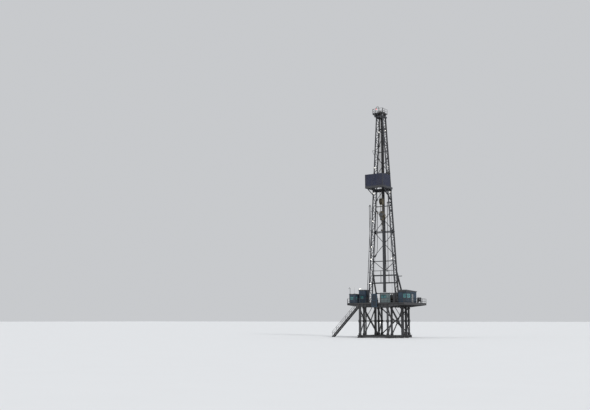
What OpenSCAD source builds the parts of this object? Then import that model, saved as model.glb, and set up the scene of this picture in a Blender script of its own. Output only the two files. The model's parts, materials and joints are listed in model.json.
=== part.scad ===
// Oil drilling rig on a box substructure, made at one half of its real size
// Lengths are in millimetres, +Z is up and the ground is the plane z = 0
// The origin is the well centre on the ground, +X runs across the drill floor
// and -Y is the side of the pipe door and of the racking board

/* [Substructure] */
// height of the drill floor over the ground
floor_h = 3810; // [3780:10:3840]
// half distance between the two side trusses
truss_x = 1750; // [1740:1:1760]
// width of a base box
base_w = 500; // [460:1:540]
// height of a base box
base_h = 300; // [280:1:320]
// width of the truss posts across the rig
post_w = 180; // [170:1:190]
// depth of the floor beams
beam_h = 350; // [330:1:370]
// width of the flanges of the floor beams
beam_w = 160; // [150:1:170]
// thickness of the deck plates
deck_t = 25; // [20:1:30]
// depth of the wing brackets at their outer end
wing_tip_h = 150; // [120:1:180]

/* [Drill floor] */
// reach of the floor to the left
floor_left = 3320; // [3300:1:3340]
// reach of the floor to the right
floor_right = 3850; // [3840:1:3900]
// reach of the floor to the front
floor_front = 2400; // [2390:1:2440]
// reach of the floor to the rear
floor_rear = 3200; // [3190:1:3240]
// height of the hand rails
rail_h = 550; // [500:1:600]
// thickness of the rail posts
rail_t = 26; // [20:1:30]
// radius of the bore through the rotary table
rotary_r = 238; // [220:1:250]
// radius of the raised ring of the rotary table
rotary_ring_r = 330; // [320:1:360]
// side of the square plate of the rotary table
rotary_plate = 1200; // [1180:1:1220]

/* [Stair] */
// horizontal run of the stair
stair_run = 3740; // [3600:1:3900]
// clear width between the stringers
stair_w = 390; // [360:1:420]
// number of rises of the stair
stair_n = 36; // [34:1:38]
// thickness of a stringer
stringer_t = 30; // [20:1:40]
// thickness of a tread
tread_t = 16; // [12:1:20]
// going of a tread
tread_d = 120; // [110:1:130]

/* [Houses] */
// wall thickness of the steel houses
wall_t = 40; // [30:1:45]
// thickness of the house floors
house_floor_t = 20; // [15:1:25]
// height of the doghouse walls
doghouse_h = 1040; // [1000:1:1100]
// height of the walls of the tall cabin
tall_cabin_h = 1540; // [1500:1:1600]
// height of the walls of the driller's cabin
driller_h = 1090; // [1050:1:1120]
// height of the walls of the tool house
tool_house_h = 1300; // [1280:1:1400]
// thickness of the flat roofs
roof_t = 60; // [50:1:70]
// width of the hinged door of the tool house
door_w = 380; // [360:1:390]
// height of the hinged door of the tool house
door_h = 1000; // [980:1:1040]
// gap round the hinged door
door_gap = 6; // [5:1:8]
// thickness of the window panes
pane_t = 10; // [8:1:12]

/* [Mast] */
// clear height of the mast over the drill floor
mast_h = 21640; // [21600:1:21680]
// half distance of the legs at the floor
leg_base = 1750; // [1740:1:1760]
// half distance of the legs at the crown
leg_top = 400; // [395:1:405]
// half depth of a leg, chord centre to chord centre
leg_half_d = 375; // [370:1:380]
// centre of the legs behind the well centre
mast_y = 150; // [148:1:152]
// width of a leg chord
chord_w = 110; // [100:1:116]
// width of the lacing bars
lace_w = 50; // [40:1:56]
// height of the mast shoes
shoe_h = 150; // [140:1:160]
// thickness of the foot plates of the shoes
foot_t = 40; // [30:1:50]
// height of the joint between lower and middle section
joint_low = 8220; // [8200:1:8240]
// height of the joint between middle and upper section
joint_high = 15000; // [14980:1:15020]
// width of the rear girts
girt_w = 90; // [80:1:100]
// width of the rear cross braces
brace_w = 64; // [50:1:70]
// thickness of the rear cross braces
brace_t = 36; // [30:1:40]

/* [Crown] */
// depth of the crown beams
crown_beam_h = 160; // [150:1:170]
// height of the sheave axle over the top of the mast
crown_axle_h = 460; // [450:1:470]
// outer radius of the sheaves
sheave_r = 290; // [280:1:292]
// radius of the sheaves at the bottom of the groove
groove_r = 268; // [262:1:269]
// distance between the sheaves of a block
sheave_pitch = 60; // [58:1:61]
// width of one sheave
sheave_w = 46; // [40:1:48]
// radius of the drilling line
line_r = 9; // [8:1:10]
// room beside the line in a groove
groove_room = 7; // [6:1:7]
// height of the crown platform over the top of the mast
crown_deck_h = 430; // [420:1:450]

/* [Hoisting] */
// height of the sheave axle of the travelling block over the drill floor
block_h = 11750; // [11700:1:11800]
// width of the guide rail of the top drive
guide_w = 310; // [300:1:320]
// depth of the guide rail
guide_d = 130; // [120:1:134]
// distance of the guide rail behind the well centre
guide_y = 400; // [398:1:402]
// gap between the carriage and the guide rail
guide_gap = 6; // [5:1:8]
// radius of the drive shaft
shaft_r = 36; // [30:1:40]
// radius of the standpipe
pipe_r = 35; // [30:1:40]
// radius of the rotary hose
hose_r = 30; // [26:1:34]
// radius of the service loop
loop_r = 34; // [28:1:36]

/* [Racking board] */
// height of the board over the drill floor
board_h = 13350; // [13330:1:13370]
// depth of the beams under the board
board_beam_h = 220; // [200:1:240]
// half width of the board
board_x = 1130; // [1120:1:1140]
// reach of the board in front of the well centre
board_y = 1800; // [1790:1:1810]
// height of the windwalls
wind_h = 1360; // [1300:1:1400]
// number of fingers on each side
finger_n = 11; // [9:1:12]

/* [Hidden] */
deck_z = floor_h - deck_t;
beam_z = deck_z - beam_h;
truss_out = truss_x + post_w / 2;
truss_in = truss_x - post_w / 2;
beam_rows = [-2300, -1340, -620, 620, 1360, 2120, 3100];
prop_rows = [-620, 620];
prop_x = 2600;
post_rows = [[-2300, 160], [-1340, 160], [1360, 260], [2120, 160], [2900, 160]];
stair_y = 500;
rise = floor_h / stair_n;
going = stair_run / stair_n;
stair_foot = -floor_left - stair_run;
dog_x = -3250;
dog_y = -2020;
dog_w = 800;
dog_d = 900;
tall_x = -2950;
tall_y = -350;
tall_w = 800;
tall_d = 870;
drill_x = 850;
drill_y = -2200;
drill_w = 800;
drill_d = 750;
tool_x = 2430;
tool_y = -950;
tool_w = 970;
tool_d = 2500;
tool_out = tool_x + tool_w;
door_y = 384;
door_t = wall_t;
hinge_r = 9;
hinge_x = tool_out + 14;
hinge_y = door_y - door_gap / 2;
hinge_l = 30;
hinge_rows = [120, 780];
crown_z = floor_h + mast_h;
crown_beam_z = crown_z + crown_beam_h;
axle_z = crown_z + crown_axle_h;
line_y = groove_r + line_r + 0.5;
front_y = mast_y - leg_half_d;
rear_y = mast_y + leg_half_d;
fast_x = 300;
inner_x = 225;
fast_y = 400;
drum_y = 1900;
gate_h = 1060;
drum_z = floor_h + 620;
drum_r = 200;
block_z = floor_h + block_h;
board_z = floor_h + board_h;
finger_step = 115;
finger_y = -1660;
board_in = 700;
wind_y = 0;
walk_w = 140;
hose_line = [[-1300, -600, 11140], [-1300, -600, 10690], [-1290, -595, 9190], [-1270, -590, 7390],
    [-1220, -570, 6090], [-1080, -530, 5450], [-830, -480, 5270], [-580, -450, 5450],
    [-440, -430, 6090], [-390, -420, 7390], [-360, -420, 9190], [-350, -420, 10230]];
loop_line = [[720, 20, 11460], [720, 20, 11090], [715, 20, 9190], [705, 20, 6690],
    [685, 20, 4410], [630, 20, 3760], [560, 20, 3640], [490, 20, 3760],
    [430, 20, 4410], [405, 20, 6190], [400, 20, 7990], [400, 20, 9690]];
hose_route = [for (p = hose_line) p + [0, 0, floor_h]];
loop_route = [for (p = loop_line) p + [0, 0, floor_h]];
boom_out = 2110;
boom_h = 3100;
seat_gap = 0.2;
head_room = 1240;
low_girts = [2370, 3230, 3780, 4865, joint_low - 60];
low_brace_h = 5400;
middle_braces = [[joint_low + 60, joint_low + 2530], [joint_low + 3730, joint_low + 5980]];
high_braces = [[joint_high + 60, joint_high + 1900], [joint_high + 3300, mast_h - 1240]];
middle_girts = [joint_low + 60, joint_low + 3000, joint_high - 60];
high_girts = [joint_high + 60, joint_high + 2640, mast_h - head_room];
guide_foot = 1300;
crown_left = 700;
crown_right = 600;
pipe_off = chord_w / 2 + 180;
$fn = 32;

// A point on the centre line of a leg, by its height over the drill floor
function leg_x(h) = leg_base + (leg_top - leg_base) * h / mast_h;

// Straight bar of rectangular section between two points
module bar(a, b, w, t) {
    d = b - a;
    len = norm(d);
    translate(a)
        rotate([0, acos(d[2] / len), atan2(d[1], d[0])])
            translate([-w / 2, -t / 2, 0])
                cube([w, t, len]);
}

// Round rod between two points
module rod(a, b, r) {
    d = b - a;
    len = norm(d);
    translate(a)
        rotate([0, acos(d[2] / len), atan2(d[1], d[0])])
            cylinder(h = len, r = r);
}

// Box given by two corners
module box(a, b) {
    translate(a)
        cube(b - a);
}

// Plate with an outline in the X-Z plane, from y to y + t
module plate_xz(points, y, t) {
    translate([0, y + t, 0])
        rotate([90, 0, 0])
            linear_extrude(t)
                polygon(points);
}

// Plate with an outline in the Y-Z plane, from x to x + t
module plate_yz(points, x, t) {
    translate([x, 0, 0])
        rotate([90, 0, 90])
            linear_extrude(t)
                polygon(points);
}

// Beam of H section along Y
module beam_y(x, y0, y1, z, w, h) {
    box([x - w / 2, y0, z], [x + w / 2, y1, z + 24]);
    box([x - w / 2, y0, z + h - 24], [x + w / 2, y1, z + h]);
    box([x - 12, y0, z], [x + 12, y1, z + h]);
}

// Beam of H section along X
module beam_x(y, x0, x1, z, w, h) {
    box([x0, y - w / 2, z], [x1, y + w / 2, z + 24]);
    box([x0, y - w / 2, z + h - 24], [x1, y + w / 2, z + h]);
    box([x0, y - 12, z], [x1, y + 12, z + h]);
}

// Hand rail with posts, mid rail and toe board between two points of a level floor
module rail_run(a, b, n, h) {
    for (i = [0:n]) {
        p = a + (b - a) * i / n;
        box([p[0] - rail_t / 2, p[1] - rail_t / 2, p[2]],
            [p[0] + rail_t / 2, p[1] + rail_t / 2, p[2] + h]);
    }
    bar(a + [0, 0, h], b + [0, 0, h], rail_t, rail_t);
    bar(a + [0, 0, h / 2], b + [0, 0, h / 2], rail_t, rail_t);
    bar(a + [0, 0, 40], b + [0, 0, 40], 80, 10);
}

// Skid boxes on the ground under the side trusses
module base_boxes() {
    color("dimgray")
        for (s = [-1, 1])
            translate([s * truss_x, 0, 0]) {
                box([-base_w / 2, -2500, 0], [base_w / 2, floor_rear, 40]);
                box([-base_w / 2, -2500, base_h - 40], [base_w / 2, floor_rear, base_h]);
                box([-base_w / 2 + 60, -2460, 0], [base_w / 2 - 60, floor_rear - 40, base_h]);
            }
}

// Spreader beams on the ground and the cross bracing of the rear side
module cross_bracing() {
    inner = truss_x - base_w / 2;
    color("dimgray") {
        for (y = [-2200, 1360, 2700])
            box([-inner, y - 90, 40], [inner, y + 90, 40]+ [0, 0, 220]);
        intersection() {
            union() {
                bar([-truss_x, 2900, 380], [truss_x, 2900, 3340], 110, 90);
                bar([truss_x, 2900, 380], [-truss_x, 2900, 3340], 110, 80);
                bar([-truss_x, 2900, 1860], [truss_x, 2900, 1860], 110, 70);
            }
            box([-truss_in, 2700, 0], [truss_in, 3100, beam_z]);
        }
    }
}

// Side truss between a base box and the drill floor
module truss(s) {
    x = s * truss_x;
    mid = (base_h + beam_z) / 2;
    intersection() {
        union() {
            for (p = post_rows)
                box([x - post_w / 2, p[0] - p[1] / 2, base_h], [x + post_w / 2, p[0] + p[1] / 2, beam_z]);
            bar([x, -1640, beam_z + 60], [x, 2020, base_h - 60], 170, 130);
            bar([x, -2300, mid], [x, 2900, mid], 120, 100);
            bar([x, -2300, base_h + 40], [x, -1340, mid], 90, 90);
            bar([x, -1340, mid], [x, -2300, beam_z - 40], 90, 90);
            bar([x, 2120, beam_z - 40], [x, 2900, mid], 90, 90);
            bar([x, 2900, mid], [x, 2120, base_h + 40], 90, 90);
            bar([x, -1340, base_h + 40], [x, 180, mid], 90, 90);
            bar([x, 180, mid], [x, 1360, beam_z - 40], 90, 90);
        }
        box([x - 400, -3000, base_h], [x + 400, 4000, beam_z]);
    }
}

module truss_left() {
    color("dimgray")
        truss(-1);
}

module truss_right() {
    color("dimgray")
        truss(1);
}

// Grid of beams under the middle of the drill floor
module floor_frame() {
    color("dimgray") {
        for (y = beam_rows)
            beam_x(y, -truss_out, truss_out, beam_z, beam_w, beam_h);
        for (x = [-truss_x, -620, 620, truss_x])
            beam_y(x, -floor_front, floor_rear, beam_z, beam_w, beam_h);
    }
}

// Deck plate over the middle of the drill floor
module floor_deck() {
    color("gray")
        difference() {
            box([-truss_out, -floor_front, deck_z], [truss_out, floor_rear, floor_h]);
            box([-rotary_plate / 2, -rotary_plate / 2, deck_z - 10],
                [rotary_plate / 2, rotary_plate / 2, floor_h + 10]);
        }
}

// Wing of the drill floor on tapered brackets, with two props on the ground
module wing(s, reach) {
    w0 = s > 0 ? truss_out : -reach;
    w1 = s > 0 ? reach : -truss_out;
    box([w0, -floor_front, deck_z], [w1, floor_rear, floor_h]);
    for (y = beam_rows)
        plate_xz([[s * truss_out, deck_z + 5], [s * truss_out, beam_z],
            [s * reach, deck_z - wing_tip_h], [s * reach, deck_z + 5]], y - 30, 60);
    edge = s > 0 ? reach - 50 : -reach;
    box([edge, -floor_front, deck_z - wing_tip_h], [edge + 50, floor_rear, deck_z + 5]);
    for (y = prop_rows) {
        box([s * prop_x - 55, y - 55, 0], [s * prop_x + 55, y + 55, deck_z - 100]);
        box([s * prop_x - 160, y - 160, 0], [s * prop_x + 160, y + 160, 30]);
    }
}

module wing_platforms() {
    color("dimgray") {
        wing(-1, floor_left);
        wing(1, floor_right);
    }
}

// Rotary table in the middle of the drill floor
module rotary_table() {
    color("slategray")
        difference() {
            union() {
                box([-rotary_plate / 2, -rotary_plate / 2, deck_z], [rotary_plate / 2, rotary_plate / 2, floor_h]);
                box([-450, -450, deck_z - 225], [450, 450, floor_h]);
                translate([0, 0, deck_z])
                    cylinder(h = deck_t + 40, r = rotary_ring_r, $fn = 64);
            }
            translate([0, 0, deck_z - 300])
                cylinder(h = 500, r = rotary_r, $fn = 64);
        }
}

// Hand rails round the edge of the drill floor
module floor_rails() {
    in = 20;
    l = -floor_left + in;
    r = floor_right - in;
    f = -floor_front + in;
    b = floor_rear - in;
    color("silver") {
        rail_run([l, f, floor_h], [-190, f, floor_h], 4, rail_h);
        rail_run([580, f, floor_h], [r - 40, f, floor_h], 4, rail_h);
        rail_run([r, f, floor_h], [r, b - 40, floor_h], 6, rail_h);
        rail_run([l + 40, b, floor_h], [r, b, floor_h], 8, rail_h);
        rail_run([l, f + 60, floor_h], [l, stair_y - 280, floor_h], 3, rail_h);
        rail_run([l, stair_y + 280, floor_h], [l, b, floor_h], 3, rail_h);
    }
}

// Tall gate that closes the pipe door at the front edge
module v_door_gate() {
    color("steelblue") {
        for (x = [-130, 440])
            box([x, -floor_front - 80, floor_h - 420], [x + 80, -floor_front, floor_h + gate_h]);
        for (z = [-420, (gate_h - 500) / 2, gate_h - 80])
            box([-130, -floor_front - 80, floor_h + z], [520, -floor_front - 10, floor_h + z + 80]);
        box([-130, -floor_front - 52, floor_h - 420], [520, -floor_front - 40, floor_h + gate_h]);
    }
}

// Height of the stair line over a point of its run
function stair_z(x) = floor_h * (x - stair_foot) / stair_run;

// Stringers and hand rails of the stair at the left edge
module stair() {
    top = -floor_left;
    color("dimgray")
        for (s = [-1, 1]) {
            y = s > 0 ? stair_y + stair_w / 2 : stair_y - stair_w / 2 - stringer_t;
            plate_xz([[top, floor_h], [top, floor_h - 210], [stair_foot + 206, 0], [stair_foot, 0]],
                y, stringer_t);
            for (i = [0:6]) {
                x = stair_foot + 90 + i * (stair_run - 130) / 6;
                box([x - 13, y + 2, stair_z(x) - 60], [x + 13, y + 28, stair_z(x) + rail_h - 20]);
            }
            for (h = [rail_h / 2, rail_h - 20]) {
                a = [stair_foot + 77, y + 15, stair_z(stair_foot + 77) + h];
                b = [top - 27, y + 15, stair_z(top - 27) + h];
                bar(a, b, rail_t, rail_t - 6);
            }
        }
}

// Treads of the stair between the stringers
module stair_treads() {
    color("gray")
        for (i = [1:stair_n - 1]) {
            x = stair_foot + i * going;
            box([x - tread_d / 2, stair_y - stair_w / 2, i * rise - tread_t],
                [x + tread_d / 2, stair_y + stair_w / 2, i * rise]);
        }
}

// Hollow house without a roof
module shell(x, y, w, d, h) {
    difference() {
        box([x, y, floor_h], [x + w, y + d, floor_h + h]);
        box([x + wall_t, y + wall_t, floor_h + house_floor_t],
            [x + w - wall_t, y + d - wall_t, floor_h + h + 10]);
    }
}

// Opening through a wall that faces X, by its lower left corner over the drill floor
module cut_x(x, y, z, w, h) {
    box([x - 100, y, floor_h + z], [x + 100, y + w, floor_h + z + h]);
}

// Opening through a wall that faces Y
module cut_y(x, y, z, w, h) {
    box([x, y - 100, floor_h + z], [x + w, y + 100, floor_h + z + h]);
}

// Doghouse at the front left corner of the floor
module doghouse() {
    color("steelblue")
        difference() {
            shell(dog_x, dog_y, dog_w, dog_d, doghouse_h);
            cut_x(dog_x + dog_w, dog_y + 480, house_floor_t, 340, 940);
            cut_x(dog_x + dog_w, dog_y + 110, 440, 280, 360);
            cut_y(dog_x + 120, dog_y, 440, 420, 360);
        }
}

// Tall cabin behind the doghouse
module tall_cabin() {
    color("steelblue")
        difference() {
            shell(tall_x, tall_y, tall_w, tall_d, tall_cabin_h);
            cut_x(tall_x + tall_w, tall_y + 440, house_floor_t, 340, 960);
            cut_y(tall_x + 200, tall_y, 560, 400, 360);
        }
}

// Driller's cabin at the front edge, with a band of windows
module drillers_cabin() {
    color("lightgray")
        difference() {
            shell(drill_x, drill_y, drill_w, drill_d, driller_h);
            cut_y(drill_x + 70, drill_y, 560, 310, 330);
            cut_y(drill_x + 420, drill_y, 560, 310, 330);
            cut_x(drill_x, drill_y + 90, 480, 560, 410);
            cut_y(drill_x + 230, drill_y + drill_d, house_floor_t, 340, 960);
        }
}

// Tool house on the right wing
module tool_house() {
    color("steelblue")
        difference() {
            shell(tool_x, tool_y, tool_w, tool_d, tool_house_h);
            cut_x(tool_out, door_y - door_gap, house_floor_t, door_w + 2 * door_gap, door_h + 2 * door_gap);
            cut_x(tool_out, tool_y + 130, 560, 900, 540);
            cut_y(tool_x + 560, tool_y, 560, 480, 540);
        }
    color("steelblue")
        for (h = hinge_rows)
            hinge_half(h - hinge_l - 0.3, -1);
}

// Half of a hinge, on the jamb or on the door leaf
module hinge_half(h, s) {
    z = floor_h + house_floor_t + door_gap + h;
    y0 = s > 0 ? door_y : door_y - door_gap - 30;
    y1 = s > 0 ? door_y + 30 : door_y - door_gap;
    box([tool_out, y0, z], [hinge_x, y1, z + hinge_l]);
    translate([hinge_x, hinge_y, z])
        cylinder(h = hinge_l, r = hinge_r);
}

// Hinged door of the tool house
module tool_house_door() {
    z = floor_h + house_floor_t + door_gap;
    color("gainsboro") {
        box([tool_out - door_t, door_y, z], [tool_out, door_y + door_w, z + door_h]);
        for (h = hinge_rows)
            hinge_half(h, 1);
        box([tool_out, door_y + door_w - 60, z + 470], [tool_out + 14, door_y + door_w - 30, z + 560]);
    }
}

// Roofs of the four houses
module house_roofs() {
    color("darkslategray") {
        box([dog_x - 20, dog_y - 40, floor_h + doghouse_h],
            [dog_x + dog_w + 40, dog_y + dog_d + 40, floor_h + doghouse_h + roof_t]);
        box([tall_x - 40, tall_y - 40, floor_h + tall_cabin_h],
            [tall_x + tall_w + 40, tall_y + tall_d + 40, floor_h + tall_cabin_h + roof_t]);
        box([drill_x - 40, drill_y - 60, floor_h + driller_h],
            [drill_x + drill_w + 40, drill_y + drill_d + 40, floor_h + driller_h + roof_t]);
        z = floor_h + tool_house_h;
        plate_yz([[tool_y - 70, z], [tool_y + tool_d + 70, z], [tool_y + tool_d + 70, z + 70],
            [tool_y - 70, z + 190]], tool_x - 60, tool_w + 120);
    }
}

// Window panes of the four houses
module house_windows() {
    i = (wall_t - pane_t) / 2;
    color("cadetblue") {
        translate([dog_x + 120, dog_y + i, floor_h + 440])
            cube([420, pane_t, 360]);
        translate([dog_x + dog_w - i - pane_t, dog_y + 110, floor_h + 440])
            cube([pane_t, 280, 360]);
        translate([tall_x + 200, tall_y + i, floor_h + 560])
            cube([400, pane_t, 360]);
        translate([drill_x + 70, drill_y + i, floor_h + 560])
            cube([310, pane_t, 330]);
        translate([drill_x + 420, drill_y + i, floor_h + 560])
            cube([310, pane_t, 330]);
        translate([drill_x + i, drill_y + 90, floor_h + 480])
            cube([pane_t, 560, 410]);
        translate([tool_out - i - pane_t, tool_y + 130, floor_h + 560])
            cube([pane_t, 900, 540]);
        translate([tool_x + 560, tool_y + i, floor_h + 560])
            cube([480, pane_t, 540]);
    }
}

// Drawworks on its skid behind the mast
module drawworks() {
    color("slategray") {
        box([-1200, 1250, floor_h], [1200, 2850, floor_h + 110]);
        box([-1160, 1400, floor_h + 100], [-520, 2600, floor_h + 1120]);
        box([520, 1400, floor_h + 100], [1160, 2600, floor_h + 1120]);
        rod([-530, drum_y, drum_z], [530, drum_y, drum_z], drum_r);
        for (x = [-440, 400])
            rod([x, drum_y, drum_z], [x + 40, drum_y, drum_z], drum_r + 130);
        box([-530, 2480, floor_h + 100], [530, 2780, floor_h + 760]);
    }
}

// Utility winch on the right wing
module winch() {
    color("slategray") {
        box([3150, 2150, floor_h], [3650, 2500, floor_h + 70]);
        for (x = [3170, 3580])
            plate_yz([[2180, floor_h + 60], [2470, floor_h + 60], [2400, floor_h + 560],
                [2250, floor_h + 560]], x, 40);
        rod([3200, 2325, floor_h + 370], [3600, 2325, floor_h + 370], 120);
        for (x = [3225, 3545])
            rod([x, 2325, floor_h + 370], [x + 20, 2325, floor_h + 370], 230);
        box([3170, 2240, floor_h + 545], [3620, 2410, floor_h + 700]);
    }
}

// Shoes that carry the mast legs on the floor
module mast_shoes() {
    color("dimgray")
        for (s = [-1, 1])
            translate([s * leg_base, 0, 0]) {
                box([-230, front_y - 130, floor_h], [230, rear_y + 130, floor_h + foot_t]);
                box([-90, front_y - 90, floor_h + foot_t - 10], [90, rear_y + 90, floor_h + shoe_h]);
            }
}

// Chord of a leg between two heights over the drill floor, with room round it in a cut
module chord(s, y, h0, h1, w, room = 0) {
    x0 = s * leg_x(h0);
    x1 = s * leg_x(h1);
    r = w / 2 + room;
    plate_xz([[x0 - r, floor_h + h0], [x0 + r, floor_h + h0],
        [x1 + r, floor_h + h1], [x1 - r, floor_h + h1]], y - chord_w / 2 - room, chord_w + 2 * room);
}

// Room that the lacing of a leg takes up, from its front chord to its rear chord
module lacing_room(s, h0, h1) {
    x0 = s * leg_x(h0);
    x1 = s * leg_x(h1);
    r = lace_w / 2 + 5;
    plate_xz([[x0 - r, floor_h + h0], [x0 + r, floor_h + h0],
        [x1 + r, floor_h + h1], [x1 - r, floor_h + h1]], front_y, rear_y - front_y);
}

// Laced side panel of the mast
module side_panel(s, h0, h1, n) {
    for (y = [front_y, rear_y])
        chord(s, y, h0, h1, chord_w);
    step = (h1 - h0 - 120) / n;
    for (i = [0:n]) {
        h = h0 + 60 + i * step;
        x = s * leg_x(h);
        bar([x, front_y, floor_h + h], [x, rear_y, floor_h + h], lace_w, lace_w);
        if (i < n) {
            x2 = s * leg_x(h + step);
            ya = i % 2 == 0 ? front_y : rear_y;
            yb = i % 2 == 0 ? rear_y : front_y;
            bar([x, ya, floor_h + h], [x2, yb, floor_h + h + step], lace_w, lace_w);
        }
    }
}

module mast_left_lower() {
    color("darkslategray")
        side_panel(-1, shoe_h, joint_low, 12);
}

module mast_left_middle() {
    color("darkslategray")
        side_panel(-1, joint_low, joint_high, 10);
}

module mast_left_upper() {
    color("darkslategray")
        side_panel(-1, joint_high, mast_h, 10);
}

module mast_right_lower() {
    color("darkslategray")
        side_panel(1, shoe_h, joint_low, 12);
}

module mast_right_middle() {
    color("darkslategray")
        side_panel(1, joint_low, joint_high, 10);
}

module mast_right_upper() {
    color("darkslategray")
        side_panel(1, joint_high, mast_h, 10);
}

// Space between the chords of the two legs, from one height to another
module between_legs(h0, h1) {
    w0 = leg_x(h0) - chord_w / 2;
    w1 = leg_x(h1) - chord_w / 2;
    plate_xz([[-w0, floor_h + h0], [w0, floor_h + h0], [w1, floor_h + h1], [-w1, floor_h + h1]],
        rear_y - 200, 400);
}

// Level bar across the rear of the mast
module girt(h, w) {
    bar([-leg_base, rear_y, floor_h + h], [leg_base, rear_y, floor_h + h], w, lace_w);
}

// Pair of crossing braces across the rear of the mast
module brace_pair(h0, h1) {
    for (s = [-1, 1])
        bar([s * (leg_x(h0) - 30), rear_y, floor_h + h0], [-s * (leg_x(h1) - 30), rear_y, floor_h + h1],
            brace_w, brace_t + 4 * s);
}

module mast_back_lower() {
    color("darkslategray")
        intersection() {
            union() {
                for (i = [0:4])
                    girt(low_girts[i], i < 2 ? 150 : i < 3 ? 60 : girt_w);
                for (s = [-1, 1]) {
                    bar([s * 520, rear_y, floor_h + low_girts[0]], [s * 520, rear_y, floor_h + low_girts[2]],
                        60, brace_t);
                    bar([s * (leg_x(low_girts[3]) - 30), rear_y, floor_h + low_girts[3]],
                        [0, rear_y, floor_h + low_girts[2]], brace_w, brace_t + 4 * s);
                }
                brace_pair(low_brace_h, low_girts[4]);
            }
            between_legs(shoe_h, joint_low);
        }
}

module mast_back_middle() {
    color("darkslategray")
        intersection() {
            union() {
                for (h = middle_girts)
                    girt(h, girt_w);
                for (p = middle_braces)
                    brace_pair(p[0], p[1]);
            }
            between_legs(joint_low, joint_high);
        }
}

module mast_back_upper() {
    color("darkslategray")
        intersection() {
            union() {
                for (h = high_girts)
                    girt(h, girt_w);
                for (p = high_braces)
                    brace_pair(p[0], p[1]);
            }
            between_legs(joint_high, mast_h);
        }
}

// Rear legs that hold the mast upright, tied by a cross bar
module a_frame() {
    back = rear_y + chord_w / 2;
    color("darkslategray")
        intersection() {
            union() {
                for (s = [-1, 1]) {
                    bar([s * leg_x(3500), rear_y, floor_h + 3500], [s * truss_x, 1960, floor_h - 60], 150, 130);
                    box([s * truss_x - 150, 1740, floor_h], [s * truss_x + 150, 2100, floor_h + 60]);
                    bar([s * leg_x(900), rear_y, floor_h + 900],
                        [s * truss_x, 1450, floor_h + 1200], 90, 90);
                }
                bar([-truss_x, 1450, floor_h + 1210], [truss_x, 1450, floor_h + 1210], 110, 90);
                bar([leg_x(boom_h) - 20, rear_y + 100, floor_h + boom_h],
                    [boom_out, rear_y + 100, floor_h + boom_h], 80, 70);
            }
            box([-2200, back, floor_h], [boom_out + 100, 2400, floor_h + 4200]);
        }
}

// Beams on top of the mast and the bearings of the sheaves
module crown_frame() {
    color("darkslategray") {
        for (s = [-1, 1]) {
            box([s * leg_top - 60, -640, crown_z], [s * leg_top + 60, 760, crown_beam_z]);
            box([s * inner_x - 30, -450, crown_z], [s * inner_x + 30, rear_y + 80, crown_beam_z]);
            box([s * inner_x - 25, -90, crown_beam_z - 10], [s * inner_x + 25, 90, axle_z - shaft_r - 0.3]);
        }
        box([-leg_top, -450, crown_z], [leg_top, -350, crown_beam_z]);
        box([-leg_top, rear_y - 80, crown_z], [leg_top, rear_y + 80, crown_beam_z]);
        box([inner_x + 13, fast_y - 60, crown_beam_z - 10], [inner_x + 35, fast_y + 60, axle_z - 25.3]);
        box([leg_top - 60, fast_y - 60, crown_beam_z - 10], [leg_top - 30, fast_y + 60, axle_z - 25.3]);
    }
}

// Platform round the crown block with its hand rails
module crown_platform() {
    z = crown_z + crown_deck_h;
    color("dimgray") {
        difference() {
            box([-crown_left, -640, z - 20], [crown_right, 620, z]);
            box([-290, -335, z - 40], [400, 700, z + 20]);
        }
        for (y = [-600, -400, 40, 560])
            plate_xz([[-340, crown_beam_z], [-340, z - 10], [-crown_left, z - 10], [-crown_left, z - 110],
                [-460, crown_beam_z]], y - 20, 40);
        for (y = [-620, 540])
            box([410, y - 20, crown_beam_z], [460, y + 20, z - 10]);
        left = 15 - crown_left;
        right = crown_right - 15;
        rail_run([left, -625, z], [right, -625, z], 3, rail_h);
        rail_run([left, -585, z], [left, 605, z], 2, rail_h);
        rail_run([left + 40, 605, z], [-305, 605, z], 1, rail_h);
        rail_run([right, -585, z], [right, 605, z], 2, rail_h);
        box([425, -215, z - 5], [455, -185, z + 650]);
    }
}

// One grooved sheave about a line along X
module sheave(x) {
    translate([x - sheave_w / 2, 0, 0])
        rotate([90, 0, 90])
            difference() {
                cylinder(h = sheave_w, r = sheave_r, $fn = 48);
                translate([0, 0, sheave_w / 2 - line_r - groove_room])
                    difference() {
                        cylinder(h = 2 * (line_r + groove_room), r = sheave_r + 20, $fn = 48);
                        translate([0, 0, -1])
                            cylinder(h = 2 * (line_r + groove_room) + 2, r = groove_r, $fn = 48);
                    }
            }
}

// Row of sheaves on the axle of the crown block
module crown_sheaves() {
    color("silver")
        translate([0, 0, axle_z]) {
            for (i = [0:4])
                sheave((i - 2) * sheave_pitch);
            rod([-inner_x - 40, 0, 0], [inner_x + 40, 0, 0], shaft_r);
        }
}

// Sheave that leads the line down to the drawworks
module fast_sheave() {
    color("silver")
        translate([0, fast_y, axle_z]) {
            sheave(fast_x);
            rod([inner_x + 10, 0, 0], [leg_top - 32, 0, 0], 25);
        }
}

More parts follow.
